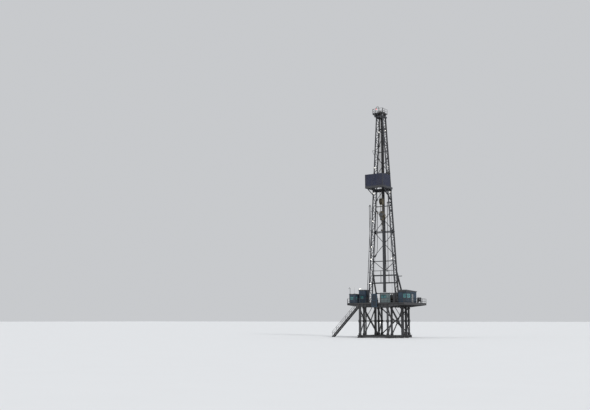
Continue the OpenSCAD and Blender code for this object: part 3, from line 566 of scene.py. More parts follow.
def straight(start: Point, stop: Point, steps: int) -> list[Point]:
    """Points at equal steps on a straight line."""
    a, b = Vector(start), Vector(stop)
    return [tuple(a.lerp(b, k / steps)) for k in range(steps + 1)]


def smooth(route: list[Point], steps: int) -> list[Point]:
    """Points on a smooth curve through a route.

    Args:
        route: the route points.
        steps: number of stretches of the curve.

    Returns:
        The points of the curve.
    """
    knots = [Vector(p) for p in route]
    last = len(knots) - 1
    line = []
    for k in range(steps + 1):
        t = k * last / steps
        i = min(int(t), last - 1)
        u = t - i
        a, b, c, d = knots[max(i - 1, 0)], knots[i], knots[i + 1], knots[min(i + 2, last)]
        point = 0.5 * (2 * b + (c - a) * u + (2 * a - 5 * b + 4 * c - d) * u * u
            + (3 * b - a - 3 * c + d) * u ** 3)
        line.append(tuple(point))
    return line


@dataclass(frozen=True)
class Part:
    """One piece: its name, what fills its mesh, its finish and what carries it."""

    name: str
    fill: Callable[[], None]
    finish: str
    body: Body = Body.RIG
    node: str = ""
    stretch: tuple[Point, Point] | None = None


class Assembly:
    """A group of pieces of plates, bars and tubes, each of which one method fills."""

    def start(self) -> None:
        """Begins an empty mesh."""
        self.points: list[Vector] = []
        self.faces: list[tuple[int, ...]] = []
        self.round_faces: set[int] = set()
        self.wraps: dict[int, list[Pair]] = {}

    def _add(self, points: list[Vector], faces: list[tuple[int, ...]]) -> None:
        """Adds points and the faces between them.

        Args:
            points: the new points.
            faces: the faces, by numbers among the new points.
        """
        start = len(self.points)
        self.points.extend(points)
        self.faces.extend(tuple(start + index for index in face) for face in faces)

    def block(self, corners: list[Vector]) -> None:
        """Adds a block by its four lower and four upper corners."""
        self._add(corners, [(3, 2, 1, 0), (4, 5, 6, 7), (0, 1, 5, 4), (1, 2, 6, 5), (2, 3, 7, 6),
            (3, 0, 4, 7)])

    def box(self, low: Point, high: Point) -> None:
        """Adds an upright box.

        Args:
            low: one of its corners.
            high: the opposite corner.
        """
        (x0, x1), (y0, y1), (z0, z1) = (sorted(pair) for pair in zip(low, high))
        self.block([Vector((x, y, z)) for z in (z0, z1)
            for x, y in ((x0, y0), (x1, y0), (x1, y1), (x0, y1))])

    def row(self, low: Point, high: Point, step: Point = (0, 0, 0), count: int = 1,
            mirror: bool = False) -> None:
        """Adds equal upright boxes at equal steps.

        Args:
            low: one corner of the first box.
            high: the opposite corner.
            step: the way from one box to the next.
            count: number of boxes.
            mirror: whether each also stands on the other side of the well centre.
        """
        for k in range(count):
            ends = [shift(corner, tuple(part * k for part in step)) for corner in (low, high)]
            for side in SIDES if mirror else (1,):
                self.box(*((side * x, y, z) for x, y, z in ends))

    def post(self, x: float, y: float, half: float, up: Pair) -> None:
        """Adds an upright square post round a place in the plan, from one height up to another."""
        self.box((x - half, y - half, up[0]), (x + half, y + half, up[1]))

    def bar(self, start: Point, stop: Point, width: float, depth: float) -> None:
        """Adds a straight bar of rectangular section.

        Args:
            start: middle of one end.
            stop: middle of the other end.
            width: size in the upright plane of the bar.
            depth: size across that plane.
        """
        a, b = Vector(start), Vector(stop)
        way = (b - a).normalized()
        side = Vector((0, 0, 1)).cross(way)
        side = Vector((0, 1, 0)) if side.length < 1e-6 else side.normalized()
        tall = way.cross(side)
        ring = [(-1, -1), (1, -1), (1, 1), (-1, 1)]
        self.block([end + tall * (u * width / 2) + side * (v * depth / 2) for end in (a, b)
            for u, v in ring])

    def _loft(self, rings: list[list[Vector]], caps: bool = True) -> int:
        """Adds the sides between rings of points, and the end caps.

        Args:
            rings: rings of as many points each.
            caps: whether the ends are closed.

        Returns:
            The number of the first face.
        """
        first, sides = len(self.faces), len(rings[0])
        faces = [(i + j, i + (j + 1) % sides, i + sides + (j + 1) % sides, i + sides + j)
            for i in range(0, (len(rings) - 1) * sides, sides) for j in range(sides)]
        self.round_faces.update(range(first, first + len(faces)))
        last = (len(rings) - 1) * sides
        ends = [tuple(range(sides - 1, -1, -1)), tuple(range(last, last + sides))] if caps else []
        self._add([point for ring in rings for point in ring], faces + ends)
        return first

    @staticmethod
    def _across(way: Vector) -> Vector:
        """A level direction across a way."""
        return (Vector((0, 1, 0)) if abs(way.y) < 0.9
            else Vector((1, 0, 0))).cross(way).normalized()

    def tube(self, path: list[Point], radius: float, sides: int = 12) -> None:
        """Adds a round tube along a path, with its turns and metres as its wrap.

        Args:
            path: points of the centre line.
            radius: radius of the tube.
            sides: number of its sides.
        """
        line = [Vector(p) for p in path]
        last = len(line) - 1
        ways = [(line[min(i + 1, last)] - line[max(i - 1, 0)]).normalized()
            for i in range(last + 1)]
        side = self._across(ways[0])
        rings, runs, along = [], [], 0.0
        for i, (centre, way) in enumerate(zip(line, ways)):
            side = (side - way * side.dot(way)).normalized()
            along += (centre - line[i - 1]).length if i else 0.0
            runs.append(along)
            rings.append(self._ring(centre, side, way.cross(side), radius, sides))
        first = self._loft(rings)
        for i, (near, far) in enumerate(zip(runs, runs[1:])):
            for j in range(sides):
                u0, u1 = j / sides, (j + 1) / sides
                self.wraps[first + i * sides + j] = [(u0, near), (u1, near), (u1, far), (u0, far)]

    @staticmethod
    def _ring(centre: Vector, side: Vector, tall: Vector, radius: float,
            sides: int) -> list[Vector]:
        """Points of a ring.

        Args:
            centre: its centre.
            side: direction of its first point.
            tall: direction of the point a quarter turn on.
            radius: its radius.
            sides: number of points.

        Returns:
            The points.
        """
        turns = [2 * math.pi * j / sides for j in range(sides)]
        return [centre + side * (math.cos(t) * radius) + tall * (math.sin(t) * radius)
            for t in turns]

    def rod(self, start: Point, stop: Point, radius: float, sides: int = 12) -> None:
        """Adds a straight round rod."""
        self.tube([start, stop], radius, sides)

    def cone(self, start: Point, stop: Point, first: float, second: float, sides: int = 16) -> None:
        """Adds a round piece that goes from one radius to another.

        Args:
            start: middle of one end.
            stop: middle of the other end.
            first: radius at the start.
            second: radius at the stop.
            sides: number of its sides.
        """
        a, b = Vector(start), Vector(stop)
        way = (b - a).normalized()
        side = self._across(way)
        self._loft([self._ring(end, side, way.cross(side), radius, sides)
            for end, radius in ((a, first), (b, second))])

    def plate(self, outline: list[Point], depth: Point) -> None:
        """Adds a flat plate from an outline pushed along a direction.

        Args:
            outline: points of one face.
            depth: the way to the other face.
        """
        count = len(outline)
        front = [Vector(p) for p in outline]
        sides = [(i, (i + 1) % count, count + (i + 1) % count, count + i) for i in range(count)]
        self._add(front + [p + Vector(depth) for p in front],
            [tuple(range(count - 1, -1, -1)), tuple(range(count, 2 * count)), *sides])

    def pins(self, xs: Iterable[float], ys: Iterable[float], up: Pair, radius: float,
            sides: int = 6) -> None:
        """Adds upright rods where rows cross.

        Args:
            xs: places of the rows across the floor.
            ys: places of the rows from front to rear.
            up: lower and upper end of the rods.
            radius: their radius.
            sides: number of their sides.
        """
        for x, y in product(xs, ys):
            self.rod((x, y, up[0]), (x, y, up[1]), radius, sides)

    def studs(self, centre: Point, plane: str, reach: float, count: int, way: Point, radius: float,
            sides: int = 6, start: float = 0.0) -> None:
        """Adds rods on a circle.

        Args:
            centre: centre of the circle.
            plane: letters of its two axes.
            reach: its radius.
            count: number of rods.
            way: from one end of each rod to the other.
            radius: radius of the rods.
            sides: number of their sides.
            start: angle of the first rod, in degrees.
        """
        for spot in arc(centre, plane, reach, count, start, start + 360.0)[:count]:
            self.rod(spot, shift(spot, way), radius, sides)

    def eye(self, foot: Point, radius: float, crest: float) -> None:
        """Adds a bent lifting eye on a roof."""
        self.tube(flat(foot, "xz", [(-0.03, 0), (-0.03, 0.03), (0, crest), (0.03, 0.03),
            (0.03, 0)]), radius, 6)

    def collar(self, level: float, inner: float, outer: float, tall: float, count: int) -> None:
        """Adds a flat ring of plates round the well centre.

        Args:
            level: height of its lower face.
            inner: its inner radius.
            outer: its outer radius.
            tall: its thickness.
            count: number of plates.
        """
        near, far = (arc((0, 0, level), "xy", reach, count) for reach in (inner, outer))
        for k in range(count):
            self.plate([near[k], near[k + 1], far[k + 1], far[k]], (0, 0, tall))

    def piece(self, name: str, finishes: Finishes, finish: str,
            body: Body | None) -> bpy.types.Object:
        """Turns the mesh into a piece.

        Args:
            name: plain name of the piece.
            finishes: the finishes by name.
            finish: the name of its finish, which is also its slot.
            body: the body that it rides on, or None where it rides on no body.

        Returns:
            The object.
        """
        mesh = bpy.data.meshes.new(name)
        mesh.from_pydata(self.points, [], self.faces)
        mesh.materials.append(finishes[finish])
        layer = mesh.uv_layers.new(name="UVMap") if self.wraps else None
        for index, face in enumerate(mesh.polygons):
            face.use_smooth = index in self.round_faces
            for loop, wrap in zip(face.loop_indices, self.wraps.get(index, [])):
                layer.data[loop].uv = wrap
        mesh.update()
        made = bpy.data.objects.new(name, mesh)
        bpy.context.scene.collection.objects.link(made)
        if body is not None:
            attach(made, body.value)
        LOG.info("%s: %d faces", name, len(self.faces))
        return made

    def parts(self) -> list[Part]:
        """The pieces of the group, in order."""
        raise NotImplementedError

    def build(self, finishes: Finishes) -> None:
        """Makes the pieces.

        Args:
            finishes: the finishes by name.
        """
        for part in self.parts():
            self.start()
            part.fill()
            made = self.piece(part.name, finishes, part.finish, None if part.stretch else part.body)
            if part.stretch:
                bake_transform(made)
            if part.node:
                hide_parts(part.node)


@dataclass(frozen=True)
class Sizes:
    """Driving sizes of the rig, in metres, as in the solids."""

    floor: float = 3.81
    mast_h: float = 21.64
    leg_base: float = 1.75
    leg_top: float = 0.4
    front: float = -0.225
    rear: float = 0.525
    joints: tuple[float, float, float, float] = (0.15, 8.22, 15.0, 21.64)
    bays: tuple[int, int, int] = (12, 10, 10)
    axle: float = 25.91
    block: float = 15.56
    line_y: float = 0.2775
    line_r: float = 0.009
    pitch: float = 0.06

    def leg(self, height: float) -> float:
        """Half distance of the legs at a height over the floor."""
        return self.leg_base + (self.leg_top - self.leg_base) * height / self.mast_h


@dataclass
class View:
    """Camera at the place of the photograph, with the rig small under a wide sky."""

    distance: float = 94.2
    azimuth: float = 28.0
    eye: float = 1.96
    width_angle: float = 39.6
    heading: float = 34.1
    pitch: float = 8.0
    far: float = 2000.0

    def build(self) -> None:
        """Makes the camera."""
        data = bpy.data.cameras.new("camera")
        data.sensor_fit = "HORIZONTAL"
        data.angle = math.radians(self.width_angle)
        data.clip_end = self.far
        camera = bpy.data.objects.new("camera", data)
        turn = math.radians(self.azimuth)
        camera.location = (math.sin(turn) * self.distance, -math.cos(turn) * self.distance,
            self.eye)
        camera.rotation_euler = (math.radians(90.0 + self.pitch), 0.0, math.radians(self.heading))
        bpy.context.scene.collection.objects.link(camera)
        bpy.context.scene.camera = camera


@dataclass
class HangingHose(Assembly):
    """A hose or bundle that hangs in a loop between the mast and the hoist."""

    node: str
    route: list[Point]
    radius: float
    strands: int = 1
    sides: int = 16
    steps: int = 220
    twist: float = 0.05

    def build(self, finishes: Finishes) -> None:
        """Makes the half that hangs from the mast and the half that hangs from the hoist, which
        meet at the lowest point.

        Args:
            finishes: the finishes by name.
        """
        line = smooth(self.route, self.steps)
        low = min(range(len(line)), key=lambda i: line[i][2])
        for label, path in (("fixed", line[:low + 1]), ("moving", list(reversed(line[low:])))):
            self.start()
            if self.strands == 1:
                self.tube(path, self.radius, self.sides)
            else:
                self._bundle(path)
            made = self.piece(f"{self.node}_{label}", finishes, "hose_black", None)
            top = path[0][2]
            ends = [(0, 0, top), (0, 0, top - 2 * (top - line[low][2]))]
            start, end = ends if label == "fixed" else reversed(ends)
            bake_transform(made)
        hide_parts(self.node)

    def _bundle(self, path: list[Point]) -> None:
        """Fills a bundle with its strands, laid in a slow twist.

        Args:
            path: centre line of the bundle.
        """
        inner = self.radius * 0.42
        offset = self.radius - inner
        across = Vector((0, 1, 0))
        for strand in range(self.strands):
            points = []
            for i, centre in enumerate(path):
                way = Vector(path[min(i + 1, len(path) - 1)]) - Vector(path[max(i - 1, 0)])
                side = across.cross(way).normalized()
                angle = 2 * math.pi * strand / self.strands + i * self.twist
                step = side * (math.cos(angle) * offset) + across * (math.sin(angle) * offset)
                points.append(tuple(Vector(centre) + step))
            self.tube(points, inner, 8)


class Wall(Enum):
    """The four walls of a cabin, by the way they face."""

    FRONT = "-Y"
    REAR = "+Y"
    LEFT = "-X"
    RIGHT = "+X"


class Filling(Enum):
    """What an opening of a cabin holds."""

    PANE = "pane"
    DOORWAY = "doorway"
    DOOR = "door"


@dataclass(frozen=True)
class Opening:
    """One opening in a wall of a cabin, by its place along the wall and over the floor."""

    wall: Wall
    start: float
    sill: float
    width: float
    height: float
    filling: Filling = Filling.PANE
    bars: int = 1

    @property
    def along(self) -> Pair:
        """From where to where it goes along the wall."""
        return (self.start, self.start + self.width)

    @property
    def up(self) -> Pair:
        """From what to what height it goes over the floor."""
        return (self.sill, self.sill + self.height)


@dataclass
class Cabin(Assembly):
    """Cladding, frames and roof trim of one steel cabin."""

    name: str
    finish: str
    low: Pair
    size: Point
    openings: list[Opening]
    roof: Pair
    floor: float = Sizes.floor
    rib: float = 0.045
    pitch: float = 0.1
    margin: float = 0.05
    clear: float = 0.035
    edge: float = 0.028
    bead: float = 0.012
    glass: Pair = (-0.023, -0.017)
    flat_roof: bool = True

    def parts(self) -> list[Part]:
        """The cladding, the frames and the roof self.

        Returns:
            The pieces in order.
        """
        roof = self._roof_trim if self.flat_roof else self._shed_trim
        return [Part(f"{self.name}_cladding", self._cladding, self.finish),
            Part(f"{self.name}_frames", self._frames, "rail_steel"),
            Part(f"{self.name}_roof_trim", roof, "roof_dark")]

    def panes(self) -> list[list[Point]]:
        """Opposite corners of the glass of each window, in the middle of the wall."""
        return [self._corners(hole.wall, hole.along, hole.up, self.glass) for hole in self.openings
            if hole.filling is Filling.PANE]

    def _corners(self, wall: Wall, along: Pair, up: Pair, out: Pair) -> list[Point]:
        """Opposite corners of a box that stands off a wall.

        Args:
            wall: the wall.
            along: from where to where along the wall.
            up: from what to what height over the floor.
            out: from what to what distance off the wall.

        Returns:
            The two corners.
        """
        (x, y), (wide, deep, _), ends = self.low, self.size, []
        for place, off, height in zip(along, out, up):
            plan = {Wall.FRONT: (x + place, y - off), Wall.REAR: (x + place, y + deep + off),
                Wall.LEFT: (x - off, y + place), Wall.RIGHT: (x + wide + off, y + place)}
            ends.append((*plan[wall], self.floor + height))
        return ends

    def _strip(self, *place: Wall | Pair) -> None:
        """Adds a box that stands off a wall."""
        self.box(*self._corners(*place))

    def _spans(self, holes: list[Opening], start: float) -> list[Pair]:
        """Heights between which a rib of a wall runs clear of its openings.

        Args:
            holes: the openings of the wall.
            start: place of the rib along the wall.

        Returns:
            Its lower and upper ends.
        """
        spans = [(self.margin, self.size[2] - 0.03)]
        for hole in holes:
            left, right = hole.along
            low, high = hole.up
            if left - self.clear - self.rib < start < right + self.clear:
                spans = [span for bottom, top in spans
                    for span in ((bottom, min(top, low - self.clear)),
                    (max(bottom, high + self.clear), top)) if span[1] - span[0] > 0.04]
        return spans

    def _cladding(self) -> None:
        """Adds ribs cut away round the openings, corner posts and rails."""
        wide, deep, tall = self.size
        rail = (-0.002, 0.012)
        for wall in Wall:
            run = wide if wall in (Wall.FRONT, Wall.REAR) else deep
            holes = [hole for hole in self.openings if hole.wall is wall]
            count = int((run - 2 * self.margin) / self.pitch)
            step = (run - 2 * self.margin) / count
            for index in range(count):
                start = self.margin + index * step + (step - self.rib) / 2
                for span in self._spans(holes, start):
                    self._strip(wall, (start, start + self.rib), span, (-0.002, 0.008))
            for corner in ((0.0, 0.035), (run - 0.035, run)):
                self._strip(wall, corner, (0.0, tall), (-0.002, 0.01))
            cursor = 0.0
            doorways = sorted((hole.along[0] - 0.03, hole.along[1] + 0.03) for hole in holes
                if hole.sill < 0.05)
            for start, stop in [*doorways, (run, run)]:
                self._strip(wall, (cursor, start), (0.0, 0.045), rail)
                cursor = stop
            self._strip(wall, (0.0, run), (tall - 0.03, tall - 0.002), rail)

    def _frames(self) -> None:
        """Adds the frames, sills, bars and hoods of the openings."""
        edge, bead, frame, reveal = self.edge, self.bead, (-0.004, 0.012), (-0.016, 0.0)
        for hole in self.openings:
            (left, right), (low, high) = hole.along, hole.up
            wide, middle = (left - edge, right + edge), low + hole.height / 2
            head = high + (0.008 if hole.filling is Filling.DOOR else 0.0)
            strips = [(wide, (head, head + edge), frame),
                (wide, (head + edge, head + edge + 0.008), (-0.004, 0.05))]
            if hole.filling is not Filling.DOOR:
                strips += [((left - edge, left), hole.up, frame),
                    ((right, right + edge), hole.up, frame)]
            if hole.filling is Filling.PANE:
                strips += [(wide, (low - edge, low), (-0.004, 0.024)),
                    (hole.along, (middle - 0.006, middle + 0.006), (-0.012, -0.002)),
                    ((left, left + bead), hole.up, reveal),
                    ((right - bead, right), hole.up, reveal),
                    (hole.along, (low, low + bead), reveal),
                    (hole.along, (high - bead, high), reveal)]
                for bar in range(1, hole.bars + 1):
                    place = left + hole.width * bar / (hole.bars + 1)
                    strips.append(((place - 0.008, place + 0.008), hole.up, (-0.013, -0.001)))
            else:
                strips.append((hole.along, (low - 0.014, low - 0.004), (0.0, 0.03)))
            for strip in strips:
                self._strip(hole.wall, *strip)

    def _roof_trim(self) -> None:
        """Adds the edge angles, ribs and lifting eyes of a flat roof."""
        (x, y), (wide, deep, tall) = self.low, self.size
        base, lip = self.floor + tall, 0.006
        x0, x1, y0, y1 = x - self.roof[0], x + wide + 0.04, y - self.roof[1], y + deep + 0.04
        for low, high in (((x0 - lip, y0 - lip), (x1 + lip, y0)),
                ((x0 - lip, y1), (x1 + lip, y1 + lip)), ((x0 - lip, y0), (x0, y1)),
                ((x1, y0), (x1 + lip, y1))):
            self.box((*low, base - 0.012), (*high, base + 0.066))
        ribs = int((x1 - x0) / 0.12)
        step = (x1 - x0) / ribs
        self.row((x0 + step - 0.01, y0 + 0.02, base + 0.06),
            (x0 + step + 0.01, y1 - 0.02, base + 0.072), (step, 0, 0), ribs - 1)
        for foot in product((x0 + 0.08, x1 - 0.08), (y0 + 0.08, y1 - 0.08), (base + 0.06,)):
            self.eye(foot, 0.007, 0.055)

    def _shed_trim(self) -> None:
        """Adds the ribs, the edge and the gutter of a roof that falls to the rear."""
        (x, y), (wide, deep, tall) = self.low, self.size
        base, y0, y1 = self.floor + tall, y - 0.07, y + deep + 0.07
        for index in range(12):
            place = x - 0.03 + (wide + 0.06) * index / 11
            self.bar((place, y0 + 0.01, base + 0.194), (place, y1 - 0.01, base + 0.074), 0.012,
                0.024)
        self.box((x - 0.06, y1, base + 0.01), (x + wide + 0.06, y1 + 0.03, base + 0.05))
        self.box((x - 0.066, y0 - 0.008, base - 0.015), (x + wide + 0.066, y0, base + 0.196))
        self.rod((x - 0.02, y1 + 0.015, base + 0.01), (x - 0.02, y1 + 0.015, self.floor + 0.1),
            0.018, 10)


@dataclass
class Glazing(Assembly):
    """Window panes of all the cabins, and the post between the two windows of the tool house."""

    cabins: list[Cabin]
    corner_post: tuple[Point, Point] = ((3.358, -0.95, 4.37), (3.4, -0.85, 4.91))

    def parts(self) -> list[Part]:
        """The panes, which take the place of the plain ones, and the post.

        Returns:
            The pieces in order.
        """
        return [Part("house_panes", self._panes, "window_glass", node="house_windows"),
            Part("tool_house_post", self._post, "cabin_blue")]

    def _panes(self) -> None:
        """Adds the panes of every cabin."""
        for corners in (pane for cabin in self.cabins for pane in cabin.panes()):
            self.box(*corners)

    def _post(self) -> None:
        """Adds the post."""
        self.box(*self.corner_post)


@dataclass
class MastTrim(Assembly):
    """Splices, gussets, pins, brace plates and conduits of the mast."""

    sizes: Sizes
    girts: tuple[float, ...] = (2.37, 3.23, 4.865, 8.16, 8.28, 11.22, 14.94, 15.06, 17.64, 20.4)
    braces: tuple[Pair, ...] = ((5.4, 8.16), (8.28, 10.75), (11.95, 14.2), (15.06, 16.9),
        (18.3, 20.4))
    flange: float = 0.078
    gusset: float = 0.19

    def parts(self) -> list[Part]:
        """The pieces of the mast.

        Returns:
            The pieces in order.
        """
        return [Part("mast_splices", self._splices, "mast_steel"),
            Part("mast_gussets", self._gussets, "mast_steel"),
            Part("mast_rear_plates", self._rear_plates, "mast_steel"),
            Part("mast_conduits", self._conduits, "hose_black"),
            Part("mast_feet", self._feet, "base_steel")]

    def _splices(self) -> None:
        """Adds bolted flanges and pinned lugs at the joints of the sections."""
        s, r = self.sizes, self.flange
        lug = [(-0.04, -0.16), (0.04, -0.16), (0.055, 0), (0.04, 0.16), (-0.04, 0.16), (-0.055, 0)]
        for height, side, y in product(s.joints[1:3], SIDES, (s.front, s.rear)):
            x, z = side * s.leg(height), s.floor + height
            self.row((x - r, y - r, z - 0.022), (x + r, y + r, z - 0.002), (0, 0, 0.024), 2)
            for dx, dy in product((-0.065, 0.0, 0.065), repeat=2):
                if dx or dy:
                    self.pins((x + dx,), (y + dy,), (z - 0.036, z + 0.036), 0.008)
            for dy in (-0.067, 0.059):
                self.plate(flat((x, y + dy, z), "xz", lug), (0, 0.008, 0))

    def _gussets(self) -> None:
        """Adds the corner plates of the lacing on both faces of each leg."""
        s, reach = self.sizes, self.gusset
        large = [(0, -0.12), (reach * 0.45, -0.07), (reach, -0.02), (reach, 0.03),
            (reach * 0.45, 0.09), (0, 0.12)]
        small = [(0, -0.05), (-0.09, -0.035), (-0.09, 0.035), (0, 0.05)]
        for low, high, bays in zip(s.joints, s.joints[1:], s.bays):
            for index in range(bays + 1):
                height = low + 0.06 + index * (high - low - 0.12) / bays
                near, far, way = (s.rear, s.front, -1) if index % 2 else (s.front, s.rear, 1)
                for side, face in product(SIDES, (-0.031, 0.026)):
                    x, z = side * s.leg(height) + face, s.floor + height
                    self.plate(flat((x, near + way * 0.05, z), "yz", large, way), (0.005, 0, 0))
                    self.plate(flat((x, far - way * 0.05, z), "yz", small, way), (0.005, 0, 0))

    def _rear_plates(self) -> None:
        """Adds the plates where girts and braces meet the legs and each other."""
        s, y = self.sizes, self.sizes.rear - 0.032
        cross = [(-0.13, 0), (-0.05, -0.09), (0.05, -0.09), (0.13, 0), (0.05, 0.09), (-0.05, 0.09)]
        spots = [(height, 0) for height in self.girts]
        for low, high in self.braces:
            spots += [(low, 1), (high, -1)]
            a, b = s.leg(low) - 0.03, s.leg(high) - 0.03
            self.plate(flat((0, y, s.floor + low + (high - low) * a / (a + b)), "xz", cross),
                (0, -0.006, 0))
        for height, way in spots:
            reach, lean = 0.24 if way else 0.15, way * 0.12
            rim = [(0, -0.11), (reach * 0.5, -0.07 + lean * 0.4), (reach, -0.045 + lean),
                (reach, 0.045 + lean), (reach * 0.5, 0.07 + lean * 0.4), (0, 0.11)]
            bolts = [(0.03 + 0.05 * k, lean * 0.3 * k) for k in range(3)]
            for side in SIDES:
                spot = (side * (s.leg(height) - 0.05), y, s.floor + height)
                self.plate(flat(spot, "xz", rim, -side), (0, -0.006, 0))
                for bolt in flat(spot, "xz", bolts, -side):
                    self.rod(shift(bolt, (0, -0.016, 0)), bolt, 0.008, 6)

    def _conduits(self) -> None:
        """Adds two cable conduits up the rear chord of the left leg, with their clamps."""
        s = self.sizes
        for offset in (0.0, 0.028):
            ends = [(-(s.leg(h) + 0.07), s.rear - 0.02 + offset, s.floor + h)
                for h in (0.25, s.mast_h - 0.05)]
            self.rod(*ends, 0.01, 8)
        for index in range(18):
            height = 0.6 + index * 1.2
            spot = (-(s.leg(height) + 0.055), s.rear, s.floor + height)
            self.box(shift(spot, (-0.03, -0.04, 0)), shift(spot, (0.002, 0.028, 0.02)))

    def _feet(self) -> None:
        """Adds the pins, cheeks and stiffeners of the shoes."""
        s = self.sizes
        for side in SIDES:
            x, z = side * s.leg_base, s.floor + 0.04
            for y in (s.front, s.rear):
                self.rod((x - 0.12, y, z + 0.07), (x + 0.12, y, z + 0.07), 0.032, 16)
                self.row((x - 0.112, y - 0.07, z), (x - 0.094, y + 0.07, z + 0.13), (0.206, 0, 0),
                    2)
            for y, way in product((-0.3, -0.05, 0.15, 0.35, 0.6), SIDES):
                rib = flat((x + way * 0.092, y, z), "xz", [(0, 0), (0.12, 0), (0, 0.09)], way)
                self.plate(rib, (0, 0.012, 0))
            self.pins((x - 0.19, x + 0.19), (-0.33, 0.63), (z - 0.005, z + 0.03), 0.016)


@dataclass
class LadderTrim(Assembly):
    """Closely spaced rungs and the fall-arrest wire of the mast ladder."""

    sizes: Sizes
    half: float = 0.098
    step: float = 0.15
    off: float = 0.14

    def parts(self) -> list[Part]:
        """The rungs and the wire.

        Returns:
            The pieces in order.
        """
        return [Part("ladder_rungs", self._rungs, "rail_steel"),
            Part("ladder_wire", self._wire, "rail_steel")]

    def _spot(self, height: float, along: float = 0.0, out: float = 0.0) -> Point:
        """A point of the ladder.

        Args:
            height: its height over the floor.
            along: how far it is to the rear of the ladder's middle.
            out: how far it is outside the ladder.

        Returns:
            The point.
        """
        s = self.sizes
        return (s.leg(height) + self.off + out, (s.front + s.rear) / 2 + along, s.floor + height)

    def _rungs(self) -> None:
        """Adds the rungs."""
        for index in range(int((self.sizes.mast_h - 0.45) / self.step)):
            height = 0.22 + index * self.step
            self.rod(self._spot(height, -self.half), self._spot(height, self.half), 0.0075, 8)

    def _wire(self) -> None:
        """Adds the wire and its clamps."""
        top = self.sizes.mast_h - 0.12
        self.rod(self._spot(0.2, out=0.03), self._spot(top, out=0.03), 0.005, 8)
        for height in (0.2, 5.0, 10.0, 15.0, top - 0.02):
            spot = self._spot(height)
            self.box(shift(spot, (-0.004, -0.02, -0.012)), shift(spot, (0.042, 0.02, 0.012)))


@dataclass
class Lamps(Assembly):
    """Floodlights with ribbed housings, hoods, lenses and brackets."""

    sizes: Sizes
    wide: float = 0.1
    tall: float = 0.058
    deep: float = 0.05
    tip: float = 0.012
    leg_lamps: tuple[tuple[int, bool, float], ...] = ((-1, True, 20.04), (1, True, 20.12),
        (-1, False, 15.7), (1, True, 15.8), (-1, False, 12.72), (1, True, 12.8), (-1, False, 9.48),
        (-1, False, 6.5), (-1, False, 5.09), (1, False, 5.09), (-1, False, 2.31))
    post_lamps: tuple[tuple[Point, Point], ...] = (((-2.8, -0.3, 5.53), (-2.8, -0.27, 5.41)),
        ((-1.75, 2.51, 1.72), (-1.75, 2.53, 1.82)), ((1.75, 2.69, 1.24), (1.75, 2.71, 1.42)))

    def parts(self) -> list[Part]:
        """The housings and the lit lenses.

        Returns:
            The pieces in order.
        """
        return [Part("lamp_housings", self._housings, "machine_grey", node="floodlights"),
            Part("lamp_lenses", self._lenses, "lamp_white")]

    def _places(self) -> list[tuple[Point, Point, Point, Pair]]:
        """Places of the lamps and their brackets.

        Returns:
            For each lamp its place, and the ends and the section of its bracket.
        """
        s, places = self.sizes, []
        for side, rear, height in self.leg_lamps:
            y, z, reach = s.rear - 0.075 if rear else s.front, s.floor + height, s.leg(height)
            near, far = ((side * (reach - off), y + 0.005, z + 0.03) for off in (0.085, 0.02))
            places.append(((side * (reach - 0.085), y, z), near, far, (0.012, 0.03)))
        return places + [(spot, foot, shift(spot, (0, 0.025, 0)), (0.02, 0.02))
            for spot, foot in self.post_lamps]

    def _wedge(self, spot: Point, edges: list[Point]) -> None:
        """Adds a block between four level edges.

        Args:
            spot: the point that the edges are counted from.
            edges: half width, depth and height of the lower front, lower rear, upper front and
                upper rear edge.
        """
        self.block([Vector(shift(spot, (way * half, deep, up)))
            for k, (half, deep, up) in enumerate(edges) for way in ((1, -1) if k % 2 else SIDES)])

    def _housings(self) -> None:
        """Adds the housings, which look a little down, with fins, hoods and brackets."""
        w, h, d = self.wide / 2, self.tall / 2, self.deep / 2
        for spot, near, far, section in self._places():
            self._wedge(spot, [(w, -d - self.tip, -h), (w * 0.7, d, -h * 0.6), (w, -d, h),
                (w * 0.7, d, h * 0.7)])
            self.row(shift(spot, (-0.6 * w - 0.002, -d, -h * 0.5)),
                shift(spot, (-0.6 * w + 0.002, d + 0.012, h * 0.85)), (w * 0.3, 0, 0), 5)
            self.box(shift(spot, (-w - 0.003, -d - 0.026, h)),
                shift(spot, (w + 0.003, d, h + 0.004)))
            self.bar(near, far, *section)

    def _lenses(self) -> None:
        """Adds the lenses."""
        w, h, d = self.wide * 0.45, self.tall * 0.425, self.deep / 2
        for spot, *_ in self._places():
            self._wedge(spot, [(w, -d - self.tip - 0.006, -h), (w, -d, -h), (w, -d - 0.006, h),
                (w, -d + 0.01, h)])


